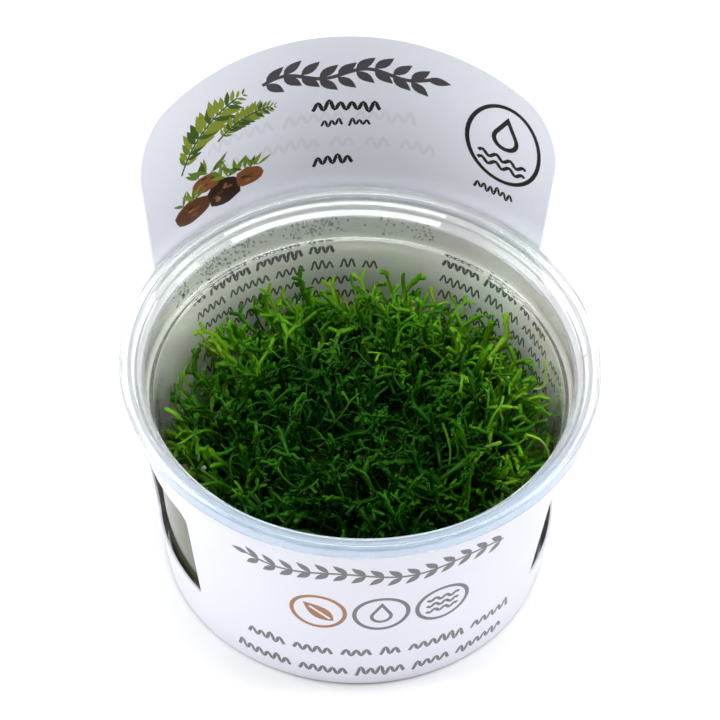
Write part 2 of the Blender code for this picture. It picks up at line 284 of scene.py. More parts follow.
def clearPlastic(name, clear, tint, paintedFrontShade, waves):
    # thin clear moulding with faint flow lines, fine scuffs, weak pink and green tints, a tan speck and
    # painted shade in front
    f = Finish(name)
    x, y = f.axes(f.place)[:2]
    film = f.noise(55.0, 1.0)
    pink = film.ramp(0.50, 0.66) * x.ramp(0.010, 0.042)
    green = film.ramp(0.48, 0.34) * x.ramp(0.010, 0.042)
    color = f.mix(pink, tint, linear(255, 247, 251), "MULTIPLY")
    color = f.mix(green, color, linear(246, 254, 250), "MULTIPLY")
    # painted shade: darker and bluer in front, standing in for the shadowed sleeve seen through the rim
    color = f.mix(y.ramp(-0.010, -0.040), color, paintedFrontShade, "MULTIPLY")
    right, back = x - speckPlace[0], y - speckPlace[1]
    away = (right * right + back * back) ** 0.5
    color = f.mix(away.ramp(0.0005, 0.0002), color, linear(196, 176, 112))
    flow = f.noise(30.0, 2.0, stretch=(1.0, 1.0, 6.0))
    scuff = f.noise(900.0, 3.0, stretch=(1.0, 1.0, 0.3)).ramp(0.66, 0.82)
    normal = f.bump(flow, waves, 0.35)
    return f.set(color=color, roughness=0.02 + scuff * 0.04, transmission=clear, ior=1.49, normal=normal)


def printedSheet():
    # coated white card; the ink colours come from the mesh
    f = Finish("printedSheet")
    ink = f.attribute("ink", "Color")
    cloud = f.noise(60.0, 3.0)
    cells = f.flow("Distance", "ShaderNodeTexVoronoi", {"feature": "F1"},
                   {"Vector": f.place, "Scale": 420.0})
    speck = cells.ramp(0.055, 0.035)
    dust = f.noise(95.0, 1.0).ramp(0.66, 0.70) * speck
    color = f.mix((cloud * 0.10), ink, linear(226, 228, 240), "MULTIPLY")
    color = f.mix((dust * 0.45), color, linear(120, 118, 124))
    grain = f.noise(2600.0, 2.0)
    wave = f.noise(38.0, 1.0)
    normal = f.bump(grain, 0.00002, 0.30, Normal=f.bump(wave, 0.0006, 0.25))
    return f.set(color=color, roughness=0.30 + cloud * 0.12, normal=normal, specular=0.45)


def gelFinish():
    # pale set jelly with a wet skin
    f = Finish("gelFinish")
    cloud = f.noise(120.0, 4.0)
    color = f.mix(cloud.ramp(0.35, 0.70), linear(214, 192, 172), linear(190, 164, 142))
    normal = f.bump(f.noise(210.0, 2.0), 0.0003, 0.5)
    return f.set(color=color, roughness=0.12 + cloud * 0.12, normal=normal, coat=0.5,
                 coatRoughness=0.05, subsurface=0.25, subsurfaceRadius=(1.0, 0.7, 0.5),
                 subsurfaceScale=0.004)


def thallusFinish(name, dark, middle, bright, edge):
    # green ribbon: dark at the foot, paler at the tip, with painted light that makes the back and right of
    # the cushion paler and yellower and painted shade that darkens its front and middle
    f = Finish(name)
    x, y = f.axes(f.place)[:2]
    reach = f.attribute("reach")
    tint = f.attribute("tint")
    vein = f.noise(1400.0, 2.0)
    clump = f.noise(105.0, 1.0).ramp(0.36, 0.64)
    # painted light: high towards the cushion's outer edge away from the front, and towards its back and
    # right
    back = y - 0.002
    outer = ((x * x + back * back) ** 0.5).ramp(0.018, 0.038) * y.ramp(-0.034, -0.010)
    toBack = (y + 0.40 * x).ramp(-0.014, 0.030)
    light = outer * 0.55 + toBack * 0.45
    base = f.mix((reach + (vein - 0.5) * 0.25).ramp(0.05, 0.70), dark, middle)
    # paler towards the tip, at random, and where the painted light is strong
    tipTintAndPaintedLight = (reach - 0.30) * 0.9 + (tint - 0.5) * 0.7 + (light - 0.5) * 0.5
    base = f.mix(tipTintAndPaintedLight.ramp(0.10, 0.75), base, bright)
    # painted backlit edge: yellow where the random tint is high and the painted light strong
    base = f.mix((tint.ramp(0.72, 1.0) * light * 0.75), base, edge)
    # painted shade: duller, darker green where the painted light is low, broken up by clumps
    dim = (light + (clump - 0.5) * 0.30).ramp(0.70, 0.05)
    base = f.mix((dim * 0.45), base, middle)
    base = f.mix(dim, base, linear(138, 176, 112), "MULTIPLY")
    normal = f.bump(f.noise(2200.0, 2.0), 0.00006, 0.40)
    return f.set(color=base, roughness=0.30 + vein * 0.22, normal=normal, specular=0.20,
                 coat=0.09, coatRoughness=0.07, gloss=linear(168, 255, 120), subsurface=0.50,
                 subsurfaceRadius=(0.40, 1.0, 0.08), subsurfaceScale=0.0011)


def coreFinish():
    # the packed middle of the cushion; its very dark green is painted shade for the depths between the
    # ribbons
    f = Finish("coreFinish")
    moss = f.noise(700.0, 4.0)
    color = f.mix(moss.ramp(0.35, 0.75), linear(16, 36, 3), linear(30, 66, 5))
    normal = f.bump(moss, 0.0012, 1.0)
    return f.set(color=color, roughness=0.75, normal=normal, specular=0.05, gloss=linear(150, 255, 110))


def waterFinish():
    f = Finish("waterFinish")
    ripple = f.noise(3000.0, 1.0)
    return f.set(color=linear(214, 220, 218), roughness=ripple * 0.02, transmission=1.0, ior=1.333,
                 normal=f.bump(ripple, 0.00001, 0.2))


def beadFinish():
    # water bead whose milky near-white colour is a painted glint, standing in for a reflection of the light
    f = Finish("beadFinish")
    cloud = f.noise(1500.0, 2.0)
    color = f.mix(cloud.ramp(0.35, 0.65), linear(240, 236, 244), linear(214, 210, 220))
    return f.set(color=color, roughness=0.06 + cloud * 0.06, transmission=0.25, ior=1.333,
                 normal=f.bump(cloud, 0.00002, 0.3))


def floorFinish():
    f = Finish("floorFinish")
    cloud = f.noise(3.0, 2.0)
    color = f.mix(cloud, linear(238, 238, 239), linear(236, 236, 237))
    return f.set(color=color, roughness=0.85, specular=0.15)


finishes = {
    "cup": clearPlastic("clearWall", 0.92, linear(252, 253, 253), linear(255, 255, 255), 0.00001),
    "rim": clearPlastic("clearRim", 0.76, linear(247, 250, 252), linear(228, 238, 248), 0.000002),
    "skin": clearPlastic("clearSkin", 0.97, linear(244, 246, 238), linear(255, 255, 255), 0.00001),
    # less clear plastic behind the windows; its olive-grey is painted shade for the dim inside seen through
    # them
    "pane": clearPlastic("clearPane", 0.74, linear(116, 122, 80), linear(255, 255, 255), 0.00001),
    "sheet": printedSheet(),
    "gel": gelFinish(),
    "core": coreFinish(),
    "thallus": thallusFinish("crystalwortGreen", linear(12, 38, 1), linear(30, 76, 2),
                             linear(72, 126, 8), linear(136, 168, 42)),
    # darker copy of the green for the inner layers: painted shade of the cushion's depths
    "deep": thallusFinish("crystalwortDeep", linear(12, 34, 2), linear(23, 58, 2),
                          linear(34, 82, 2), linear(68, 108, 10)),
    "pale": thallusFinish("crystalwortPale", linear(32, 70, 2), linear(68, 122, 8),
                          linear(112, 164, 26), linear(170, 198, 72)),
    "water": waterFinish(),
    "bead": beadFinish(),
    "floor": floorFinish(),
}
print("finishes made")


# Clear cup

cup = {
    "segments": 240,
    "wall": 0.0009,
    "skirtDepth": 0.0036,
    "flangeFlat": 0.0022,
    "flangePlate": 0.0011,
    "flangeEdge": 0.0004,
    # radius and depth under the rim of the two gentle slopes inside the lip, and of the face behind them
    "lipSteps": ((0.0478, 0.0019), (0.04675, 0.00235), (0.04665, 0.0033), (0.04505, 0.0040)),
    "lipBack": ((0.0459, 0.0048), (0.0468, 0.0043), (0.0473, 0.0038), (0.0474, 0.0032),
                (0.0484, 0.0027), (0.0486, 0.0012)),
    "lipFootRadius": 0.0449,
    "rimLine": 0.0528,
    "ledgeHeight": 0.0479,
    "ledgeRadius": 0.0434,
    "floorRadius": 0.0397,
    "wallFoot": 0.0031,
    # the stretches of wall behind the sleeve's windows, misted and tinted olive-grey as painted shade for
    # the dim inside seen through them
    "paneHeights": (0.0124, 0.0411),
    "paneAngles": (89.0, 125.4),
    "floorThickness": 0.0012,
    "ledgeDrop": 0.0004,
    "cornerSteps": 4,
    "softCorner": 0.0004,
    "crispCorner": 0.0003,
}


def cupProfile():
    # half section as (radius, height, corner radius): outside up, over the rim, inside down
    foot = cup["floorRadius"] + cup["wall"]
    ledge, ledgeR = cup["ledgeHeight"], cup["ledgeRadius"]
    lipFoot, wall, edge = cup["lipFootRadius"], cup["wall"], cup["flangeEdge"]
    skirt = cupHeight - cup["skirtDepth"]
    soft, crisp = cup["softCorner"], cup["crispCorner"]
    low, high = (foot, 0.0021), (ledgeR + wall, ledge - 0.0014)
    outside = [
        (0.0, 0.0, 0.0),
        (foot - 0.0024, 0.0, 0.0010),
        (foot - 0.0007, 0.0006, 0.0006),
        (*low, 0.0012),
        *[(lerp(low[0], high[0], (z - low[1]) / (high[1] - low[1])), z, 0.0)
          for z in cup["paneHeights"]],
        (*high, soft),
        (ledgeR + wall + 0.0004, ledge - wall, soft),
        (lipFoot + 0.0006, ledge - wall + 0.0001, soft),
        (lipFoot + wall + 0.0001, ledge + 0.0003, soft),
    ]
    outside += [(radius, cupHeight - depth, soft) for radius, depth in cup["lipBack"]]
    rim = [
        (rimRadius - wall, cupHeight - cup["flangePlate"], crisp),
        (rimRadius - wall + 0.0001, skirt, crisp),
        (rimRadius - 0.0001, skirt, 0.0002),
        (rimRadius, skirt + 0.0003, crisp),
        (rimRadius, cupHeight - edge, crisp),
        (rimRadius - edge, cupHeight, crisp),
        (rimRadius - edge - cup["flangeFlat"], cupHeight, crisp),
    ]
    inside = [(radius, cupHeight - depth, 0.00025) for radius, depth in cup["lipSteps"]]
    inside += [
        (lipFoot + 0.0001, ledge + 0.0009, 0.0006),
        (lipFoot - 0.0004, ledge + 0.0002, 0.0005),
        (ledgeR + 0.0002, ledge, 0.0003),
        (ledgeR, ledge - cup["ledgeDrop"], 0.0003),
        (cup["floorRadius"], cup["wallFoot"], 0.0010),
        (cup["floorRadius"] - 0.0006, 0.0018, 0.0008),
        (cup["floorRadius"] - 0.0020, cup["floorThickness"], 0.0010),
        (0.0, cup["floorThickness"], 0.0),
    ]
    return outside + rim + inside


def innerRadius(z):
    top = cup["ledgeHeight"] - cup["ledgeDrop"]
    return lerp(cup["floorRadius"], cup["ledgeRadius"], (z - cup["wallFoot"]) / (top - cup["wallFoot"]))


def rounded(profile, steps):
    # each corner as a small arc-like curve, no longer than half its neighbours
    points = [Vector(profile[0][:2])]
    for before, here, after in zip(profile, profile[1:], profile[2:]):
        corner = Vector(here[:2])
        back, ahead = Vector(before[:2]) - corner, Vector(after[:2]) - corner
        reach = min(here[2], back.length * 0.48, ahead.length * 0.48)
        if reach <= 0.0:
            points.append(corner)
            continue
        start = corner + back.normalized() * reach
        end = corner + ahead.normalized() * reach
        for step in range(steps + 1):
            t = step / steps
            points.append((1 - t) ** 2 * start + 2 * t * (1 - t) * corner + t * t * end)
    points.append(Vector(profile[-1][:2]))
    return points


def revolved(name, points, segments):
    # closed solid of turning whose first and last points are on the axis
    bm = bmesh.new()
    first = bm.verts.new((0.0, 0.0, points[0].y))
    last = bm.verts.new((0.0, 0.0, points[-1].y))
    rings = []
    for point in points[1:-1]:
        rings.append([bm.verts.new(polar(-360.0 * i / segments, point.x, point.y))
                      for i in range(segments)])
    for i in range(segments):
        j = (i + 1) % segments
        bm.faces.new((first, rings[0][j], rings[0][i]))
        bm.faces.new((last, rings[-1][i], rings[-1][j]))
        for low, high in zip(rings, rings[1:]):
            bm.faces.new((low[i], low[j], high[j], high[i]))
    return meshFrom(name, bm)


cupLine = rounded(cupProfile(), cup["cornerSteps"])
cupPiece = addPiece("cupMoulding", revolved("cupMoulding", cupLine, cup["segments"]), finishes["cup"], 50.0)
for name in ("rim", "skin", "pane"):
    cupPiece.data.materials.append(finishes[name])
rimSlot, skinSlot, paneSlot = 1, 2, 3
for face in cupPiece.data.polygons:
    outward = face.normal.x * face.center.x + face.normal.y * face.center.y > 0.0
    if face.center.z > cup["rimLine"]:
        face.material_index = rimSlot
    elif outward and face.center.z > cup["wallFoot"]:
        turn = abs(math.degrees(math.atan2(face.center.x, face.center.y)))
        # faces behind the windows: misted, and olive-grey as painted shade
        mistedAndShaded = (cup["paneHeights"][0] < face.center.z < cup["paneHeights"][1]
                  and cup["paneAngles"][0] < turn < cup["paneAngles"][1])
        face.material_index = paneSlot if mistedAndShaded else skinSlot
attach(cupPiece, "root")
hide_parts("clear_cup")
print("cup made")


# Printed sleeve: flat print design, triangulated and wrapped round the cup

sleeve = {
    "sheet": 0.00045,  # thickness
    "footZ": 0.0005,
    "topZ": 0.0538,
    "footRadius": 0.0414,
    "topRadius": 0.04765,
    "tabHalfAngle": 54.0,
    "tabRootRadius": 0.0518,
    "tabLean": 0.113,
    "tabTop": 0.0978,
    "tabArcRadius": 0.152,
    "tabCorner": 0.0095,
    "tabSkew": 0.022,
    "bendStart": 0.0360,
    "blendAngle": 9.0,
    "windowAngles": (90.0, 124.4),
    "windowHeights": (0.0130, 0.0405),
    "windowTopCorner": 0.0030,
    "windowFootCorner": 0.0008,
    "seamAngle": -75.0,
    "flatRadius": 46.0,
    "columnStep": 2.5,
    "rowStep": 3.2,
    "bendRowStep": 1.1,
    # spacing of points round a window, and how far grid points stay from the sheet's edge, in millimetres
    "windowStep": 2.2,
    "edgeGap": 0.8,
    # share of the outside print that shows through on the tab
    "ghost": 0.10,
}

inks = {
    "paper": linear(229, 230, 240),
    # face against the cup: lighter and greener than the paper, as painted light for that dim face behind
    # the clear wall
    "inside": linear(246, 247, 240),
    "grey": linear(104, 102, 106),
    "black": linear(34, 31, 33),
    "heading": linear(72, 68, 74),
    "brown": linear(158, 104, 62),
    "bark": linear(92, 52, 30),
    "soil": linear(48, 28, 18),
    "clay": linear(128, 78, 44),
    "olive": linear(128, 142, 44),
    "leafGreen": linear(94, 124, 40),
    "deepGreen": linear(60, 84, 22),
    "rowInk": linear(40, 44, 44),
}


def sleeveRadius(angle, z):
    t = (z - sleeve["footZ"]) / (sleeve["topZ"] - sleeve["footZ"])
    cone = lerp(sleeve["footRadius"], sleeve["topRadius"], t)
    tab = sleeve["tabRootRadius"] + sleeve["tabLean"] * (z - cupHeight)
    rise = smoothstep((z - sleeve["bendStart"]) / (sleeve["topZ"] - sleeve["bendStart"]))
    side = 1.0 - smoothstep((abs(angle) - sleeve["tabHalfAngle"]) / sleeve["blendAngle"])
    return lerp(cone, tab, rise * side)


def tabEdge(angle):
    across = sleeve["tabRootRadius"] * math.radians(abs(angle))
    half = sleeve["tabRootRadius"] * math.radians(sleeve["tabHalfAngle"])
    corner = max(0.0, across - (half - sleeve["tabCorner"]))
    shoulder = sleeve["tabCorner"] - math.sqrt(max(0.0, sleeve["tabCorner"] ** 2 - corner ** 2))
    skew = math.copysign(sleeve["tabSkew"] * across, angle)
    return sleeve["tabTop"] - across ** 2 / (2.0 * sleeve["tabArcRadius"]) - shoulder - skew


# The flat sheet is in millimetres: x runs round the cup and y up it

def flatX(angle):
    return math.radians(angle) * sleeve["flatRadius"]


def flatAngle(x):
    return math.degrees(x / sleeve["flatRadius"])


def oval(x, y, width, height, steps=28):
    return [(x + width / 2.0 * math.cos(2.0 * math.pi * i / steps),
             y + height / 2.0 * math.sin(2.0 * math.pi * i / steps)) for i in range(steps)]


def leaf(x, y, turn, length, width, steps=5):
    # pointed oval that starts at x, y and runs in the direction turn
    side = [(t, math.sin(math.pi * t ** 0.85)) for t in (i / steps for i in range(1, steps))]
    outline = [(0.0, 0.0)] + [(t, s) for t, s in side] + [(1.0, 0.0)]
    outline += [(t, -s) for t, s in reversed(side)]
    c, s = math.cos(math.radians(turn)), math.sin(math.radians(turn))
    return [(x + c * length * t - s * width / 2.0 * w, y + s * length * t + c * width / 2.0 * w)
            for t, w in outline]


def pebble(x, y, width, height, rng, steps=15):
    points = []
    for i in range(steps):
        turn = 2.0 * math.pi * i / steps
        r = rng.uniform(0.90, 1.06)
        points.append((x + width / 2.0 * r * math.cos(turn),
                       y + height / 2.0 * r * math.copysign(abs(math.sin(turn)) ** 0.8, math.sin(turn))))
    return points


def stroke(points, width):
    # even band along a line of points
    left, right = [], []
    for i, (x, y) in enumerate(points):
        x0, y0 = points[max(i - 1, 0)]
        x1, y1 = points[min(i + 1, len(points) - 1)]
        along = Vector((x1 - x0, y1 - y0)).normalized() * (width / 2.0)
        left.append((x - along.y, y + along.x))
        right.append((x + along.y, y - along.x))
    return left + right[::-1]


def droplet(x, y, height):
    r = height * 0.34
    points = [(x, y + height * 0.62)]
    for i in range(13):
        turn = math.radians(28.0 - 236.0 * i / 12.0)
        points.append((x + r * math.cos(turn), y - height * 0.10 + r * math.sin(turn)))
    return points


def counterClockwise(shape):
    area = sum(a[0] * b[1] - b[0] * a[1] for a, b in zip(shape, shape[1:] + shape[:1]))
    return shape if area > 0.0 else shape[::-1]


def squiggle(x, y, height, waves, width, rng):
    # short running wave of uneven height
    pitch = height * design["wavePitch"]
    turns = []
    for i in range(2 * waves + 1):
        side = 1.0 if i % 2 else -1.0
        reach = rng.uniform(0.75, 1.0) if rng.random() < 0.8 else 1.45
        turns.append((x + pitch * i / 2.0, y + side * reach * height / 2.0))
    line = []
    for (x0, y0), (x1, y1) in zip(turns, turns[1:]):
        for k in range(4):
            ease = 0.5 - 0.5 * math.cos(math.pi * k / 4.0)
            line.append((lerp(x0, x1, k / 4.0), lerp(y0, y1, ease)))
    return stroke(line + [turns[-1]], width)


def waveRow(x0, x1, y, height, width, rng):
    # row of short running waves with gaps between them
    row = []
    x = x0
    while True:
        waves = rng.randint(2, 6)
        length = waves * height * design["wavePitch"]
        if x + length > x1:
            return row
        row.append(squiggle(x, y, height, waves, width, rng))
        x += length + height * design["waveGap"]


def garland(x0, x1, y, rise, leafLength, leafWidth, stem, count):
    # waving stem with leaves on either side
    shapes = []
    def heightAt(x):
        return y + rise * math.sin((x - x0) / (x1 - x0) * 4.0 * math.pi)
    line = [(lerp(x0, x1, i / 40.0), heightAt(lerp(x0, x1, i / 40.0))) for i in range(41)]
    shapes.append(stroke(line, stem))
    for i in range(count):
        x = lerp(x0 + leafLength * 0.15, x1 - leafLength * 0.75, i / (count - 1.0))
        for side in (1.0, -1.0):
            shapes.append(leaf(x, heightAt(x) + side * stem * 0.35, side * 42.0, leafLength, leafWidth))
    shapes.append(leaf(x1 - 0.6, heightAt(x1), 0.0, leafLength, leafWidth))
    return shapes


def frond(x, y, turn, length, rng):
    # curved fern-like frond as (ink, outline) pairs
    shapes, line = [], []
    px, py, heading = x, y, turn
    for step in range(17):
        line.append((px, py))
        heading -= 2.6
        px += length / 16.0 * math.cos(math.radians(heading))
        py += length / 16.0 * math.sin(math.radians(heading))
        if step:
            size = length * 0.30 * math.sin(math.pi * (0.16 + 0.80 * step / 17.0))
            for side in (1.0, -1.0):
                ink = rng.choice(["olive", "olive", "leafGreen", "deepGreen"])
                shapes.append((ink, leaf(px, py, heading + side * rng.uniform(48.0, 62.0),
                                         size * rng.uniform(0.85, 1.1), size * 0.30)))
    shapes.append(("deepGreen", stroke(line, 0.45)))
    return shapes


def tuft(x, y, size, count, rng):
    shapes = []
    for i in range(count):
        turn = lerp(20.0, 160.0, (i + rng.random()) / count)
        ink = rng.choice(["olive", "leafGreen", "leafGreen", "deepGreen"])
        shapes.append((ink, leaf(x + rng.uniform(-0.6, 0.6) * size, y, turn,
                                 size * rng.uniform(0.8, 1.2), size * 0.22)))
    return shapes


# Print, in millimetres on the flat sheet; rows and garlands run between two angles round the cup
design = {
    # angles, height, rise, leaf length and width, stem, leaves
    "tabGarland": (-18.0, 20.0, 88.0, 1.1, 4.6, 2.1, 0.9, 9),
    "frontGarland": (145.0, 215.0, 43.3, 0.9, 4.0, 1.7, 0.65, 15),
    # angles, height, height of the waves, stroke
    "tabRows": ((-6.5, 11.5, 79.3, 2.2, 0.75), (-4.5, 9.5, 74.8, 1.4, 0.5), (-6.5, 12.0, 64.6, 2.0, 0.7)),
    "badgeRows": ((33.0, 47.0, 64.4, 1.5, 0.55),),
    "frontRows": ((136.0, 224.0, 13.2, 2.4, 0.85), (137.0, 226.0, 5.5, 2.4, 0.85)),
    "backRows": ((-33.0, 27.0, 76.6, 2.4, 0.75), (-33.0, 27.0, 69.6, 2.4, 0.75),
                 (-34.0, 34.0, 30.0, 1.7, 0.5), (-34.0, 34.0, 24.5, 1.7, 0.5),
                 (-34.0, 34.0, 19.0, 1.7, 0.5)),
    # length of a wave and the gap between two groups, in heights
    "wavePitch": 0.95,
    "waveGap": 0.85,
    "insideBlocks": ((-46.0, 13.5), (28.5, 86.0)),
    "insideRows": {"count": 9, "top": 42.5, "pitch": 4.0, "ragged": 3.0, "firstShort": 11.0},
    # the picture's corner as angle, step aside and height; stones and tufts are placed from it
    "picture": (-41.0, 1.6, 63.0),
    "stones": ((0.0, 0.0, 9.0, 6.0, "bark"), (7.6, 0.6, 7.4, 7.4, "soil"),
               (13.2, 2.0, 6.0, 5.0, "clay"), (3.9, 5.2, 6.6, 4.8, "clay")),
    "tufts": ((-0.5, 2.6, 3.6), (4.0, 7.4, 4.2), (8.8, 4.0, 4.4), (13.4, 4.2, 3.4)),
    # angle, height, direction, length
    "fronds": ((-41.0, 74.0, 66.0, 19.0), (-30.0, 77.5, 44.0, 12.0)),
    # angle, height, width, height, band, steps round
    "badge": (39.5, 77.5, 16.5, 20.5, 0.9, 44),
    "rings": (((195.5, 28.6, 12.6, 12.6, 0.95, 40), "brown", "leaf"),
              ((178.5, 28.6, 12.6, 12.6, 0.95, 40), "grey", "drop"),
              ((161.5, 28.6, 12.6, 12.6, 0.95, 40), "grey", "waves")),
}


def drawGarland(ink, first, last, *sizes):
    return [(ink, shape) for shape in garland(flatX(first), flatX(last), *sizes)]


def drawRows(ink, rows, rng):
    return [(ink, shape) for first, last, *sizes in rows
            for shape in waveRow(flatX(first), flatX(last), *sizes, rng)]


def hoop(ink, angle, y, width, height, band, steps):
    inner = (width - 2.0 * band, height - 2.0 * band)
    return [(ink, oval(flatX(angle), y, width, height, steps)),
            ("paper", oval(flatX(angle), y, *inner, steps))]


def ripple(ink, x, y, reach, rise, pace, steps, width):
    # wave that runs to either side of x
    line = [(x + lerp(-reach, reach, i / steps), y + rise * math.sin(i * pace))
            for i in range(steps + 1)]
    return ink, stroke(line, width)


def tabPrint(rng):
    # the tab's face towards the plant
    shapes = drawGarland("heading", *design["tabGarland"]) + drawRows("black", design["tabRows"], rng)
    # stones with plants, at the left
    corner, aside, up = design["picture"]
    left = flatX(corner) + aside
    for dx, dy, w, h, inkName in design["stones"]:
        x, y = left + dx, up + dy
        shapes.append((inkName, pebble(x, y, w, h, rng)))
        for spot in range(7):
            turn = rng.uniform(0.0, 2.0 * math.pi)
            far = rng.uniform(0.05, 0.30)
            ink = rng.choice(["bark", "soil", "clay", "brown"])
            shapes.append((ink, pebble(x + far * w * math.cos(turn), y + far * h * math.sin(turn),
                                       w * rng.uniform(0.12, 0.25), h * rng.uniform(0.08, 0.18), rng, 7)))
    for dx, dy, size in design["tufts"]:
        shapes += tuft(left + dx, up + dy, size, 9, rng)
    for angle, *growing in design["fronds"]:
        shapes += frond(flatX(angle), *growing, rng)
    # a badge with a drop over waves, at the right
    x, y = flatX(design["badge"][0]), design["badge"][1]
    shapes += hoop("black", *design["badge"])
    shapes += [("black", droplet(x, y + 2.2, 8.6)), ("paper", droplet(x, y + 2.0, 5.8))]
    shapes += [ripple("black", x, y - 4.0 - 2.0 * k, 5.2, 0.6, 0.9, 24, 0.8) for k in range(2)]
    return shapes + drawRows("black", design["badgeRows"], rng)


def insidePrint(rng):
    # two blocks of rows on the face against the cup, each with a bolder first row
    rows = design["insideRows"]
    shapes = []
    for first, last in design["insideBlocks"]:
        for row in range(rows["count"]):
            height, width, short = (1.8, 0.48, 0.0) if row else (1.9, 0.72, rows["firstShort"])
            end = flatX(last) - rng.uniform(0.0, rows["ragged"]) * (row > 0) - short
            y = rows["top"] - rows["pitch"] * row
            shapes += [("rowInk", shape) for shape in waveRow(flatX(first), end, y, height, width, rng)]
    return shapes


def outsidePrint(rng):
    # the front of the sleeve, and the back of the tab, which shows through faintly
    shapes = drawGarland("grey", *design["frontGarland"]) + drawRows("grey", design["frontRows"], rng)
    for ring, ink, motif in design["rings"]:
        x, y = flatX(ring[0]), ring[1]
        shapes += hoop(ink, *ring)
        if motif == "leaf":
            shapes.append((ink, leaf(x - 3.4, y - 3.0, 42.0, 9.0, 4.4, 8)))
            shapes.append(("paper", stroke([(x - 2.6, y - 2.3), (x + 1.9, y + 1.7)], 0.6)))
        elif motif == "drop":
            shapes += [(ink, droplet(x, y - 0.2, 7.4)), ("paper", droplet(x, y - 0.4, 5.0))]
        else:
            shapes += [ripple(ink, x, y + 2.2 - 2.2 * k, 3.6, 0.55, 0.95, 20, 0.85) for k in range(3)]
    return shapes + drawRows("grey", design["backRows"], rng)


def windowOutline(side):
    # rounded rectangle as seen square on, laid on the sheet
    low, high = (h * 1000.0 for h in sleeve["windowHeights"])
    middle = side * sum(sleeve["windowAngles"]) / 2.0
    centre = flatX(middle if side > 0 else 360.0 + middle)
    halfAngle = math.radians((sleeve["windowAngles"][1] - sleeve["windowAngles"][0]) / 2.0)
    half = sleeveRadius(180.0, (low + high) / 2000.0) * 1000.0 * math.sin(halfAngle)
    top, foot = sleeve["windowTopCorner"] * 1000.0, sleeve["windowFootCorner"] * 1000.0
    outline = []
    corners = ((1, low, foot, -90.0), (1, high, top, 0.0), (-1, high, top, 90.0), (-1, low, foot, 180.0))
    for sx, y, r, start in corners:
        cy = y + r if y == low else y - r
        for step in range(7):
            turn = math.radians(start + 15.0 * step)
            outline.append((sx * (half - r) + r * math.cos(turn), cy + r * math.sin(turn)))
    points = []
    for (x0, y0), (x1, y1) in zip(outline, outline[1:] + outline[:1]):
        pieces = max(1, int(math.hypot(x1 - x0, y1 - y0) / sleeve["windowStep"]))
        for k in range(pieces):
            across, y = lerp(x0, x1, k / pieces), lerp(y0, y1, k / pieces)
            radius = sleeveRadius(180.0, y / 1000.0) * 1000.0
            points.append((centre + math.asin(across / radius) * sleeve["flatRadius"], y))
    return points


def sheetOutline():
    # the sheet's own edge, counter-clockwise from the foot of the seam
    start = sleeve["seamAngle"]
    low, top = sleeve["footZ"] * 1000.0, sleeve["topZ"] * 1000.0
    count = round(360.0 / sleeve["columnStep"])
    columns = [start + sleeve["columnStep"] * i for i in range(count + 1)]
    half = sleeve["tabHalfAngle"]
    rows = [lerp(low, top, k / 16.0) for k in range(1, 16)]
    points = [(flatX(a), low) for a in columns]
    points += [(flatX(columns[-1]), y) for y in rows]
    points += [(flatX(a), top) for a in reversed(columns) if a > half + 0.4]
    sideTop = tabEdge(half) * 1000.0
    points += [(flatX(half), lerp(top, sideTop, k / 10.0)) for k in range(10)]
    # closer steps at the tab's two rounded shoulders
    turns = [math.radians(90.0 * k / 8.0) for k in range(8)]
    angles = [half - 0.9 * half * (1.0 - math.cos(turn)) * 0.06 for turn in turns]
    angles += list(np.linspace(half * 0.94, -half * 0.94, 90))
    angles += [-a for a in reversed(angles[:8])]
    points += [(flatX(a), tabEdge(a) * 1000.0) for a in angles]
    sideTop = tabEdge(-half) * 1000.0
    points += [(flatX(-half), lerp(sideTop, top, k / 10.0)) for k in range(1, 11)]
    points += [(flatX(a), top) for a in reversed(columns) if a < -half - 0.4]
    points += [(flatX(start), y) for y in reversed(rows)]
    clean = [points[0]]
    for point in points[1:]:
        if math.hypot(point[0] - clean[-1][0], point[1] - clean[-1][1]) > 0.02:
            clean.append(point)
    return clean


def gridPoints():
    # points inside the sheet, closer together where it bends
    points = []
    rows, y = [], sleeve["footZ"] * 1000.0
    while y < sleeve["tabTop"] * 1000.0:
        bending = sleeve["bendStart"] * 1000.0 - 2.0 < y < sleeve["topZ"] * 1000.0 + 2.0
        y += sleeve["bendRowStep"] if bending else sleeve["rowStep"]
        rows.append(y)
    count = round(360.0 / sleeve["columnStep"])
    for i in range(1, count):
        angle = sleeve["seamAngle"] + sleeve["columnStep"] * i
        top = sleeve["topZ"] * 1000.0
        if abs(angle) < sleeve["tabHalfAngle"]:
            top = tabEdge(angle) * 1000.0
        points += [(flatX(angle), y) for y in rows if y < top - sleeve["edgeGap"]]
    return points


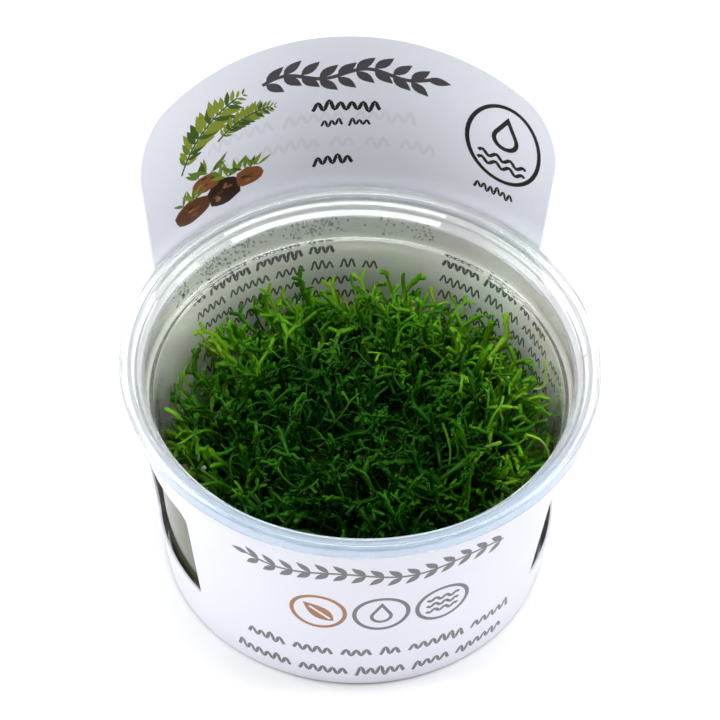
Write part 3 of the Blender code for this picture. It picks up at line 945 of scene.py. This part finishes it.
def sheetMesh():
    rng = random.Random(5)
    outline = sheetOutline()
    windows = [windowOutline(1), windowOutline(-1)]
    layers = [("in", ink, shape) for ink, shape in tabPrint(rng) + insidePrint(rng)]
    layers += [("out", ink, shape) for ink, shape in outsidePrint(rng)]
    points = [Vector(p) for p in gridPoints()]
    faces = []
    for shape in [outline] + windows + [layer[2] for layer in layers]:
        faces.append(list(range(len(points), len(points) + len(shape))))
        points += [Vector(p) for p in counterClockwise(shape)]
    flat, _, triangles, _, _, sources = delaunay_2d_cdt(points, [], faces, 0, 1e-5)
    bm = bmesh.new()
    skins = []
    for inset in (0.0, sleeve["sheet"]):
        skins.append([])
        for p in flat:
            angle, z = flatAngle(p.x), p.y / 1000.0
            skins[-1].append(bm.verts.new(polar(angle, sleeveRadius(angle, z) - inset, z)))
    inkLayer = bm.loops.layers.float_color.new("ink")
    edgeUse = {}
    for triangle, source in zip(triangles, sources):
        # 0 is the sheet, 1 and 2 are its windows, and the print comes after them
        if 0 not in source or 1 in source or 2 in source:
            continue
        top = {"in": -1, "out": -1}
        for index in source:
            if index > 2:
                skin = layers[index - 3][0]
                top[skin] = max(top[skin], index - 3)
        height = sum(flat[v].y for v in triangle) / 3.0
        onTab = height > sleeve["topZ"] * 1000.0
        outInk = inks[layers[top["out"]][1]] if top["out"] >= 0 else inks["paper"]
        # below the tab the face against the cup gets the inside colour, which is painted light
        ground = inks["paper"] if onTab else inks["inside"]
        inInk = inks[layers[top["in"]][1]] if top["in"] >= 0 else ground
        if top["out"] >= 0 and top["in"] < 0 and onTab:
            inInk = tuple(lerp(a, b, sleeve["ghost"]) for a, b in zip(ground, outInk))
        if top["in"] >= 0 and layers[top["in"]][1] == "paper":
            inInk = ground
        a, b, c = triangle
        for skin, order, ink in ((skins[0], (a, b, c), outInk), (skins[1], (c, b, a), inInk)):
            face = bm.faces.new([skin[v] for v in order])
            for loop in face.loops:
                loop[inkLayer] = ink
        for v, w in ((a, b), (b, c), (c, a)):
            edgeUse[(v, w)] = True
    # an edge used one way only is the sheet's border, which gets a side face
    for v, w in edgeUse:
        if (w, v) not in edgeUse:
            side = bm.faces.new((skins[0][w], skins[0][v], skins[1][v], skins[1][w]))
            for loop in side.loops:
                loop[inkLayer] = inks["paper"]
    bmesh.ops.delete(bm, geom=[v for v in bm.verts if not v.link_faces], context="VERTS")
    # close the seam: its two ends meet, so their edge faces go and their points are merged
    seam = math.radians(sleeve["seamAngle"])
    normal = Vector((math.cos(seam), -math.sin(seam), 0.0))
    out = Vector((math.sin(seam), math.cos(seam), 0.0))
    ends = [v for v in bm.verts if abs(v.co.dot(normal)) < 1e-6 and v.co.dot(out) > 0.0]
    inSeam = set(ends)
    walls = [f for f in bm.faces if all(v in inSeam for v in f.verts)]
    bmesh.ops.delete(bm, geom=walls, context="FACES_ONLY")
    bmesh.ops.remove_doubles(bm, verts=ends, dist=2e-6)
    bmesh.ops.recalc_face_normals(bm, faces=bm.faces)
    return meshFrom("printedSleeve", bm)


sleevePiece = addPiece("printedSleeve", sheetMesh(), finishes["sheet"], 40.0)
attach(sleevePiece, "root")
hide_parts("label_sleeve")
print("sleeve made:", len(sleevePiece.data.polygons), "triangles")


# Gel

gel = {
    "segments": 96,
    "rings": 26,
    "clearance": 0.0003,
    "meniscus": 0.0006,
    # distance in from the wall and share of the meniscus
    "meniscusSteps": ((0.0, 1.0), (0.0004, 0.62), (0.0012, 0.2), (0.0030, 0.0)),
    # distance in and height of the foot's slope, and the height where the wall begins
    "footSteps": ((0.0025, 0.0), (0.0011, 0.0009)),
    "wallStart": 0.0036,
    "ripple": 0.00025,
    "rippleEdge": 0.002,
    "rippleFade": 0.004,
}


def gelMesh():
    # set jelly with a low uneven skin that climbs a little at the wall
    top = gelBox[1].z - gel["meniscus"]
    edge = innerRadius(top + gel["meniscus"]) - gel["clearance"]
    foot = gelBox[0].z
    points = [Vector((0.0, foot))]
    points += [Vector((cup["floorRadius"] - inward, foot + up)) for inward, up in gel["footSteps"]]
    points.append(Vector((innerRadius(gel["wallStart"]) - gel["clearance"], gel["wallStart"])))
    points += [Vector((edge - inward, top + gel["meniscus"] * share))
               for inward, share in gel["meniscusSteps"]]
    flat = edge - gel["meniscusSteps"][-1][0]
    points += [Vector((flat * (1.0 - ring / gel["rings"]), top)) for ring in range(1, gel["rings"] + 1)]
    mesh = revolved("gelLayer", points, gel["segments"])
    calm = edge - gel["rippleEdge"]
    for vert in mesh.vertices:
        x, y, z = vert.co
        if z > top - 1e-6 and math.hypot(x, y) < calm:
            fade = smoothstep((calm - math.hypot(x, y)) / gel["rippleFade"])
            swell = (math.sin(x * 410.0 + 1.1) * math.cos(y * 370.0)
                     + 0.5 * math.sin(x * 900.0 + y * 800.0))
            vert.co.z = z - gel["ripple"] * fade * (0.75 - 0.5 * swell)
    return mesh


gelPiece = addPiece("gelLayer", gelMesh(), finishes["gel"], 60.0)
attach(gelPiece, "root")
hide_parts("nutrient_gel")
print("gel made")


# Crystalwort: forked ribbons (thalli) grown on a dome

plant = {
    "centre": (0.0002, 0.0020),
    "coreRadius": 0.0345,
    "coreFoot": 0.0300,
    "coreWaist": 0.0205,
    "coreCrown": 0.0366,
    "coreInset": 0.0035,
    "waistShare": 0.62,
    "lump": 0.0011,
    "width": 0.00092,
    "thickness": 0.00040,
    # a rounded tip's shoulder and point, and how far it narrows, in widths
    "tipShoulder": 0.32,
    "tipPoint": 0.52,
    "tipNarrow": 0.74,
    # how a ribbon widens before a fork and a tip, and where the arms start, in widths
    "forkSwell": 1.5,
    "tipSwell": 1.06,
    "crotch": 0.28,
    "armStart": 0.42,
    "armWidth": 0.93,
    "wallGap": 0.0004,
    "lowest": 0.0069,
    "ceiling": 0.0490,
    "variants": 14,
    "forks": 2,
    "seed": 23,
}


def domePoint(share, turn, grow):
    # point of the growth dome: share 0 at the crown, 1 at the foot; grow pushes it outwards
    radius, foot = plant["coreRadius"] + grow, plant["coreFoot"] + grow
    crown, waist = plant["coreCrown"] + grow, plant["coreWaist"]
    if share < plant["waistShare"]:
        a = math.radians(90.0 * share / plant["waistShare"])
        r, z = radius * math.sin(a) ** 0.92, lerp(waist, crown, math.cos(a) ** 0.75)
    else:
        t = (share - plant["waistShare"]) / (1.0 - plant["waistShare"])
        r, z = lerp(radius, foot, t ** 2.0), lerp(waist, gelBox[1].z - 0.0004, t)
    lump = (math.sin(330.0 * r * math.cos(turn) + 1.3) * math.cos(290.0 * r * math.sin(turn) - 0.4)
            + 0.6 * math.sin(610.0 * r * math.sin(turn) + 420.0 * z))
    lump = lump * plant["lump"] * min(1.0, share * 6.0)
    r = r + lump * min(share * 1.4, 1.0)
    return Vector((plant["centre"][0] + r * math.cos(turn), plant["centre"][1] + r * math.sin(turn),
                   z + lump * (1.0 - share)))


def domeMesh(name, grow, closed=False, rings=26, segments=72):
    bm = bmesh.new()
    crown = bm.verts.new(domePoint(0.0, 0.0, grow))
    grid = []
    for ring in range(1, rings + 1):
        grid.append([bm.verts.new(domePoint(ring / rings, 2.0 * math.pi * i / segments, grow))
                     for i in range(segments)])
    for i in range(segments):
        j = (i + 1) % segments
        bm.faces.new((crown, grid[0][i], grid[0][j]))
        for high, low in zip(grid, grid[1:]):
            bm.faces.new((high[i], low[i], low[j], high[j]))
    if closed:
        bm.faces.new(list(reversed(grid[-1])))
    return meshFrom(name, bm)


def rungs(bm, centre, ahead, across, width, thickness, reach, layer):
    # four points of a flat lens section: left edge, upper face, right edge, lower face
    over = ahead.cross(across).normalized()
    ring = []
    for point in (centre - across * width / 2.0, centre + over * thickness / 2.0,
                  centre + across * width / 2.0, centre - over * thickness / 2.0):
        vert = bm.verts.new(point)
        vert[layer] = reach
        ring.append(vert)
    return ring


def join(bm, low, high):
    for k in range(4):
        m = (k + 1) % 4
        bm.faces.new((low[k], low[m], high[m], high[k]))


def roundTip(bm, layer, ring, centre, ahead, across, width, thickness):
    narrow = plant["tipNarrow"]
    fresh = rungs(bm, centre + ahead * width * plant["tipShoulder"], ahead, across,
                  width * narrow, thickness * narrow, 1.0, layer)
    join(bm, ring, fresh)
    tip = bm.verts.new(centre + ahead * width * plant["tipPoint"])
    tip[layer] = 1.0
    for k in range(4):
        bm.faces.new((fresh[k], fresh[(k + 1) % 4], tip))


def stretch(bm, layer, ring, centre, ahead, across, shape, forks, done, rng):
    # one stretch of ribbon, then either its rounded tip or two arms
    steps = shape["steps"]
    length = shape["length"] * rng.uniform(0.75, 1.25)
    pitch = math.radians(shape["curl"] * rng.uniform(-1.0, 1.0)) / steps
    yaw = math.radians(shape["sway"] * rng.uniform(-1.0, 1.0)) / steps
    width, thickness = shape["width"], shape["thickness"]
    for step in range(steps):
        turn = Quaternion(across, pitch) @ Quaternion(ahead.cross(across), yaw)
        ahead = (turn @ ahead).normalized()
        across = (turn @ across).normalized()
        centre = centre + ahead * (length / steps)
        done += length / steps
        swell = plant["forkSwell" if forks else "tipSwell"] if step == steps - 1 else 1.0
        reach = min(done / shape["total"], 1.0)
        fresh = rungs(bm, centre, ahead, across, width * swell, thickness, reach, layer)
        join(bm, ring, fresh)
        ring = fresh
    if not forks:
        roundTip(bm, layer, ring, centre, ahead, across, width, thickness)
        return
    crotch = bm.verts.new(centre + ahead * width * plant["crotch"])
    crotch[layer] = reach
    spread = math.radians(shape["fork"] * rng.uniform(0.7, 1.3))
    over = ahead.cross(across)
    left, right = (ring[0], ring[1], crotch, ring[3]), (crotch, ring[1], ring[2], ring[3])
    for side, base in ((-1.0, left), (1.0, right)):
        turn = Quaternion(over, -side * spread * rng.uniform(0.8, 1.2))
        tilt = Quaternion(across, math.radians(rng.uniform(-18.0, 18.0)))
        armAhead = (tilt @ turn @ ahead).normalized()
        armAcross = (tilt @ turn @ across).normalized()
        arm = dict(shape, length=shape["length"] * shape["shrink"], width=width * plant["armWidth"],
                   steps=max(1, shape["steps"] - 1))
        start = centre + across * side * width * plant["armStart"]
        more = forks - 1 if rng.random() < shape["again"] else 0
        stretch(bm, layer, list(base), start, armAhead, armAcross, arm, more, done, rng)


def thallus(name, shape, forks, rng):
    bm = bmesh.new()
    layer = bm.verts.layers.float.new("reach")
    ahead, across = Vector((0.0, 0.0, 1.0)), Vector((1.0, 0.0, 0.0))
    base = rungs(bm, Vector(), ahead, across, shape["width"] * 0.8, shape["thickness"], 0.0, layer)
    bm.faces.new(list(reversed(base)))
    stretch(bm, layer, base, Vector(), ahead, across, shape, forks, 0.0, rng)
    bmesh.ops.recalc_face_normals(bm, faces=bm.faces)
    return meshFrom(name, bm)


thallusShapes = {
    # length, steps, curl, sway, fork, arm length, chance of another fork, total reach
    "long": (0.0092, 6, 60.0, 26.0, 30.0, 0.46, 0.65, 0.0140),
    "tuft": (0.0048, 3, 40.0, 30.0, 34.0, 0.50, 0.60, 0.0085),
    "blade": (0.0108, 7, 66.0, 28.0, 32.0, 0.24, 0.30, 0.0138),
    "runner": (0.0130, 9, 120.0, 60.0, 30.0, 0.26, 0.40, 0.0175),
}
shapeNames = ("length", "steps", "curl", "sway", "fork", "shrink", "again", "total")


def thallusKit(kind):
    # a collection of different thalli of one kind, for the recipe to pick from
    kit = bpy.data.collections.new("kit_" + kind)
    rng = random.Random(plant["seed"] + len(kind))
    for i in range(plant["variants"]):
        width = plant["width"] * rng.uniform(0.85, 1.15)
        shape = dict(zip(shapeNames, thallusShapes[kind]), width=width, thickness=plant["thickness"])
        mesh = thallus(f"{kind}{i:02d}", shape, plant["forks"], rng)
        mesh.shade_smooth()
        kit.objects.link(bpy.data.objects.new(mesh.name, mesh))
    return kit


def growthRecipe():
    tree = Recipe("thallusGrowth", {
        "Density": ("Float", 300000.0), "Seed": ("Int", 1), "Kit": ("Collection", None),
        "Tuft scale": ("Float", 130.0), "Between tufts": ("Float", 0.42), "Side gaps": ("Float", 0.85),
        "Upward": ("Float", 0.5), "Disorder": ("Float", 0.8),
        "Smallest": ("Float", 0.8), "Largest": ("Float", 1.2),
        "Wall foot": ("Float", 0.0397), "Wall slope": ("Float", 0.08),
        "Lowest": ("Float", 0.0069), "Ceiling": ("Float", 0.049), "Finish": ("Material", None),
    })
    given = tree.given
    # tufts with gaps between them, and fewer ribbons low at the cup's two sides
    spot = tree.flow(0, "GeometryNodeInputPosition")
    x, _, z = tree.axes(spot)
    tufts = tree.cloud(spot, given("Tuft scale")).ramp(0.40, 0.60, given("Between tufts"), 1.35)
    aside = x.math("ABSOLUTE", x).ramp(0.0240, 0.0330)
    thin = 1.0 - aside * z.ramp(0.0300, 0.0210) * given("Side gaps")
    points, normal = tree.scatter(given("Density") * (tufts * thin))
    anyWay = tree.random((-1.0,) * 3, (1.0,) * 3, given("Seed"), "FLOAT_VECTOR")
    loose = tree.vector("SCALE", anyWay, Scale=given("Disorder"))
    lean = tree.vector("ADD", tree.vector("ADD", normal, tree.point(Z=given("Upward"))), loose)
    spin = tree.flow(0, "FunctionNodeAxisAngleToRotation", {},
                     {"Axis": (0.0, 0.0, 1.0), "Angle": tree.random(0.0, 2.0 * math.pi, 7)})
    turned = tree.flow(0, "FunctionNodeRotateRotation", {"rotation_space": "LOCAL"},
                       {"Rotation": tree.aim(lean), "Rotate By": spin})
    kit = tree.flow(0, "GeometryNodeCollectionInfo", {"transform_space": "ORIGINAL"},
                    {"Collection": given("Kit"), "Separate Children": True, "Reset Children": True})
    planted = tree.flow(0, "GeometryNodeInstanceOnPoints", {}, {
        "Points": points, "Instance": kit, "Pick Instance": True, "Rotation": turned,
        "Scale": tree.random(given("Smallest"), given("Largest"), 3)})
    tinted = tree.flow(0, "GeometryNodeStoreNamedAttribute", {"data_type": "FLOAT", "domain": "INSTANCE"},
                       {"Geometry": planted, "Name": "tint", "Value": tree.random(0.0, 1.0, 11)})
    # hold every ribbon inside the cup's tapering wall, above the gel and below the ceiling
    x, y, z = tree.axes(tree.flow(0, "GeometryNodeInputPosition"))
    flat = tree.point(X=x, Y=y)
    radius = tree.vector("LENGTH", flat)
    wall = given("Wall foot") + z * given("Wall slope")
    kept = radius.least(wall) - (radius - wall).most(0.0) * 0.15
    held = tree.vector("SCALE", flat, Scale=kept / radius.most(0.0001))
    lifted = tree.point(Z=z.least(given("Ceiling")).most(given("Lowest")))
    tree.close(tree.flow(0, "GeometryNodeSetPosition", {}, {
        "Geometry": tree.real(tinted), "Position": tree.vector("ADD", held, lifted)}))
    return tree


growth = {
    # growth outwards, kit, finish, then the recipe's inputs in the order of growthInputs
    "thalliDeep": (-0.0042, "tuft", "deep", 95000.0, 0.3, 1.3, 0.9, 1.35, 3),
    "thalliInner": (-0.0034, "long", "deep", 66000.0, 0.75, 0.95, 0.92, 1.32, 5),
    "thalliOuter": (-0.0024, "long", "thallus", 62000.0, 0.90, 0.90, 0.92, 1.34, 8),
    "thalliBlades": (-0.0020, "blade", "thallus", 56000.0, 0.85, 1.0, 0.88, 1.30, 13),
    "thalliTips": (0.0008, "tuft", "thallus", 26000.0, 0.8, 0.9, 0.70, 1.05, 21),
    "thalliRunners": (0.0004, "runner", "pale", 7000.0, 0.6, 1.7, 0.60, 1.00, 34),
}
growthInputs = ("Density", "Upward", "Disorder", "Smallest", "Largest", "Seed")

# single long thalli that stand out: width, fork and pallor, then points in millimetres
longThalli = (
    (0.80, 1.6, 0.95, (29, 15, 31), (31.5, 13.5, 34.5), (34.5, 10.6, 37), (37.5, 8.0, 37),
     (40.0, 7.0, 37.6), (41.3, 8.3, 39), (41.2, 10.0, 40.6)),
    (0.55, 0.0, 1.0, (15.0, -22.5, 31), (16.2, -18.5, 34.5), (17.8, -14.5, 37.5), (18.6, -11.0, 39.3),
     (18.2, -8.2, 41), (17.4, -5.6, 42.4)),
    (0.85, 0.0, 0.7, (-32, 2.0, 26), (-34.8, 3.2, 31), (-36.6, 3.8, 35), (-38.6, 5.0, 37.6),
     (-40.6, 7.2, 37.0)),
    (0.85, 2.2, 0.6, (-0.5, 32.5, 31), (-1.3, 33.4, 36), (-2.2, 34.0, 40), (-3.0, 34.8, 43)),
    (0.85, 2.4, 0.8, (6.0, 33.0, 32), (5.2, 34.0, 37), (4.3, 34.4, 41), (3.5, 35.0, 44.4)),
    (0.85, 2.0, 0.75, (-13.5, 34.0, 29), (-14.8, 36.5, 33.5), (-15.7, 37.0, 36.5), (-16.6, 37.2, 39.4)),
    (0.80, 1.4, 0.85, (29.5, 3.0, 30), (32.5, -1.6, 34.8), (35.6, -5.2, 37), (38.4, -6.2, 36.2),
     (40.2, -6.6, 33), (40.6, -7.4, 29)),
    (0.80, 1.2, 0.9, (20.0, 14.0, 37), (21.6, 11.2, 39.2), (23.6, 8.8, 40.6), (25.2, 6.6, 40.0),
     (25.8, 5.0, 38.6)),
    (0.85, 2.4, 0.6, (-24.0, 24.0, 29), (-26.5, 26.6, 33.5), (-28.6, 28.0, 36.4), (-31.0, 28.0, 38)),
    (0.85, 2.6, 0.8, (20.0, -19.0, 31), (22.0, -16.0, 35), (24.0, -12.0, 37.5), (27.0, -9.0, 38.6)),
)


def smoothRoute(points, steps):
    # evenly stepped curve through the points
    ends = [points[0] * 2 - points[1]] + list(points) + [points[-1] * 2 - points[-2]]
    line = []
    for a, b, c, d in zip(ends, ends[1:], ends[2:], ends[3:]):
        for step in range(steps):
            t = step / steps
            line.append(0.5 * (2 * b + (c - a) * t + (2 * a - 5 * b + 4 * c - d) * t * t
                               + (3 * b - a - 3 * c + d) * t * t * t))
    return line + [points[-1]]


def ribbonAlong(bm, layer, line, across, width, thickness, reach):
    # tapered foot, even ribbon, rounded tip
    ring = None
    for i, point in enumerate(line):
        ahead = (line[min(i + 1, len(line) - 1)] - line[max(i - 1, 0)]).normalized()
        across = (across - ahead * across.dot(ahead)).normalized()
        here = lerp(*reach, i / (len(line) - 1))
        fresh = rungs(bm, point, ahead, across, width, thickness, here, layer)
        if ring:
            join(bm, ring, fresh)
        else:
            bm.faces.new(list(reversed(fresh)))
        ring = fresh
    roundTip(bm, layer, ring, line[-1], ahead, across, width, thickness)
    return ahead, across


def longThalliMesh():
    bm = bmesh.new()
    layer = bm.verts.layers.float.new("reach")
    tintLayer = bm.verts.layers.float.new("tint")
    thickness = plant["thickness"]
    for wide, fork, tint, *route in longThalli:
        before = len(bm.verts)
        width = wide / 1000.0
        line = smoothRoute([Vector(p) / 1000.0 for p in route], 5)
        across = Vector((1.0, 0.3, 0.1))
        ahead, across = ribbonAlong(bm, layer, line, across, width, thickness, (0.25, 0.95))
        # two short arms that start inside the tip
        for side in (-1.0, 1.0) if fork else ():
            arm = Quaternion(ahead.cross(across), side * math.radians(34.0)) @ ahead
            start = line[-1] - ahead * width * 0.2
            armLine = [start + arm * (fork / 1000.0) * t + ahead * 0.0003 * t * t
                       for t in (0.0, 0.35, 0.7, 1.0)]
            ribbonAlong(bm, layer, armLine, across, width * 0.92, thickness, (0.8, 1.0))
        bm.verts.ensure_lookup_table()
        for vert in bm.verts[before:]:
            vert[tintLayer] = tint
    bmesh.ops.recalc_face_normals(bm, faces=bm.faces)
    return meshFrom("thalliLong", bm)


recipe = growthRecipe()
kits = {kind: thallusKit(kind) for kind in thallusShapes}
wallTop = cup["ledgeHeight"] - cup["ledgeDrop"]
wallSlope = (cup["ledgeRadius"] - cup["floorRadius"]) / (wallTop - cup["wallFoot"])
wallFoot = cup["floorRadius"] - wallSlope * cup["wallFoot"] - plant["wallGap"]
cushionPieces = []
for name, (grow, kit, finish, *inputs) in growth.items():
    piece = recipe.grow(name, domeMesh(name, grow), {
        **dict(zip(growthInputs, inputs)), "Kit": kits[kit], "Wall foot": wallFoot, "Wall slope": wallSlope,
        "Lowest": plant["lowest"], "Ceiling": plant["ceiling"], "Finish": finishes[finish]})
    cushionPieces.append(piece)
    tell(piece)

cushionPieces.append(addPiece("thalliLong", longThalliMesh(), finishes["pale"], 70.0))
coreMesh = domeMesh("cushionCore", -plant["coreInset"], closed=True)
cushionPieces.append(addPiece("cushionCore", coreMesh, finishes["core"], 60.0))
for piece in cushionPieces:
    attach(piece, "root")
    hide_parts("crystalwort_cushion")
print("crystalwort grown")


# Water: condensation on the lip at the back, and beads that hang on the ribbons

water = {
    "mistAngles": (-58.0, 26.0),
    "mistHeights": (0.0489, 0.0542),
    "mistRadius": 0.04492,
    "mist": {"Density": 1800000.0, "Seed": 4, "Smallest": 0.00008, "Largest": 0.00032, "Height": 1.0},
    "beads": {"Density": 30000.0, "Seed": 9, "Smallest": 0.00010, "Largest": 0.00026, "Height": 0.9},
    "beadGrow": 0.0024,
    # the few large beads at the front left, painted white as a glint: place and radius in millimetres
    "brightBeads": ((-33.4, -7.2, 34.0, 0.58), (-32.3, -5.2, 34.5, 0.26), (-30.8, -6.3, 35.0, 0.28),
                    (-30.5, -11.7, 34.5, 0.22), (-35.9, -5.6, 32.0, 0.20)),
}


def dropRecipe():
    # flattened beads stuck on a surface
    tree = Recipe("waterDrops", {
        "Density": ("Float", 100000.0), "Seed": ("Int", 1), "Smallest": ("Float", 0.0001),
        "Largest": ("Float", 0.0002), "Height": ("Float", 0.6), "Finish": ("Material", None),
    })
    given = tree.given
    cloud = tree.cloud(tree.flow(0, "GeometryNodeInputPosition"), 190.0)
    points, normal = tree.scatter(given("Density") * cloud.ramp(0.44, 0.60, 0.05, 1.0))
    bead = tree.flow(0, "GeometryNodeMeshIcoSphere", {}, {"Radius": 1.0, "Subdivisions": 2})
    size = tree.random(given("Smallest"), given("Largest"), 5)
    placed = tree.flow(0, "GeometryNodeInstanceOnPoints", {}, {
        "Points": points, "Instance": bead, "Rotation": tree.aim(normal),
        "Scale": tree.point(X=size, Y=size, Z=size * given("Height"))})
    tree.close(tree.flow(0, "GeometryNodeSetShadeSmooth", {}, {"Geometry": tree.real(placed)}))
    return tree


def mistBand():
    # the stretch of the lip's inner face that carries condensation
    bm = bmesh.new()
    rows = []
    for z in np.linspace(water["mistHeights"][0], water["mistHeights"][1], 4):
        rows.append([bm.verts.new(polar(angle, water["mistRadius"], z))
                     for angle in np.linspace(water["mistAngles"][0], water["mistAngles"][1], 40)])
    for low, high in zip(rows, rows[1:]):
        for i in range(len(low) - 1):
            bm.faces.new((low[i], high[i], high[i + 1], low[i + 1]))
    return meshFrom("mistBand", bm)


def paintedGlintBeadMesh():
    bm = bmesh.new()
    for x, y, z, radius in water["brightBeads"]:
        before = len(bm.verts)
        bmesh.ops.create_icosphere(bm, subdivisions=3, radius=radius / 1000.0)
        bm.verts.ensure_lookup_table()
        for vert in bm.verts[before:]:
            lump = 1.0 + 0.16 * math.sin(vert.co.x * 3300.0 + x) * math.cos(vert.co.z * 2900.0 + y)
            vert.co = vert.co * lump + Vector((x, y, z)) / 1000.0
    return meshFrom("brightBeads", bm)


drops = dropRecipe()
wet = {"Finish": finishes["water"]}
mist = drops.grow("condensation", mistBand(), {**water["mist"], **wet})
beads = drops.grow("waterBeads", domeMesh("waterBeads", water["beadGrow"]), {**water["beads"], **wet})
brightBeads = addPiece("brightBeads", paintedGlintBeadMesh(), finishes["bead"], 60.0)
for piece in (mist, beads, brightBeads):
    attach(piece, "root")
    tell(piece)


# Floor, light and camera

studio = {
    "floorSize": 3.0,
    "world": 0.43,
    # size, place, aim, power
    "softboxes": {
        "top": ((0.84, 0.34), (0.12, -0.06, 1.09), (0.12, -0.06, 0.0), 9.0),
        "left": ((0.6, 0.8), (-0.95, 0.08, 0.76), (0.0, 0.0, 0.04), 9.4),
        "right": ((0.6, 0.8), (0.95, 0.02, 0.76), (0.0, 0.0, 0.04), 7.0),
    },
}


def softbox(name, size, place, aim, power):
    lamp = bpy.data.lights.new(name, "AREA")
    lamp.shape = "RECTANGLE"
    lamp.size, lamp.size_y = size
    lamp.energy = power
    item = bpy.data.objects.new(name, lamp)
    item.location = place
    item.rotation_euler = (Vector(aim) - item.location).to_track_quat("-Z", "Y").to_euler()
    bpy.context.scene.collection.objects.link(item)


half = studio["floorSize"] / 2.0
floorMesh = bpy.data.meshes.new("studioFloor")
floorCorners = [(-half, -half, 0), (half, -half, 0), (half, half, 0), (-half, half, 0)]
floorMesh.from_pydata(floorCorners, [], [(0, 1, 2, 3)])
addPiece("studioFloor", floorMesh, finishes["floor"])
world = bpy.data.worlds.new("studioWorld")
world.use_nodes = True
world.node_tree.nodes["Background"].inputs["Color"].default_value = (1.0, 1.0, 1.0, 1.0)
world.node_tree.nodes["Background"].inputs["Strength"].default_value = studio["world"]
bpy.context.scene.world = world
for name, setting in studio["softboxes"].items():
    softbox(name + "Softbox", *setting)
bpy.context.scene.view_settings.view_transform = "Standard"
# light passes many clear faces on its way through the cup
bpy.context.scene.cycles.blur_glossy = 0.0
bpy.context.scene.cycles.max_bounces = 24
bpy.context.scene.cycles.transmission_bounces = 24

photoView = {
    "elevation": 48.733,
    "azimuth": 5.86,
    "roll": 1.479,
    "distance": 0.8,
    "aim": (0.005604, 0.002699),
    "lens": 191.3,
    "sensor": 36.0,
    "shift": (0.0369, 0.0169),
}


def placeCamera(setting):
    tilt, turn, roll = (math.radians(setting[key]) for key in ("elevation", "azimuth", "roll"))
    ahead = Vector((math.sin(turn) * math.cos(tilt), math.cos(turn) * math.cos(tilt), -math.sin(tilt)))
    right = Vector((math.cos(turn), -math.sin(turn), 0.0))
    up = right.cross(ahead)
    side = right * math.cos(roll) + up * math.sin(roll)
    top = up * math.cos(roll) - right * math.sin(roll)
    place = Vector((0.0, 0.0, cupHeight)) - ahead * setting["distance"]
    place -= side * setting["aim"][0] + top * setting["aim"][1]
    lens = bpy.data.cameras.new("photoCamera")
    lens.lens, lens.sensor_width = setting["lens"], setting["sensor"]
    lens.shift_x, lens.shift_y = setting["shift"]
    lens.clip_start = 0.01
    camera = bpy.data.objects.new("photoCamera", lens)
    turned = Matrix((side, top, -ahead)).transposed().to_4x4()
    turned.translation = place
    camera.matrix_world = turned
    bpy.context.scene.collection.objects.link(camera)
    bpy.context.scene.camera = camera


placeCamera(photoView)
print("studio set")
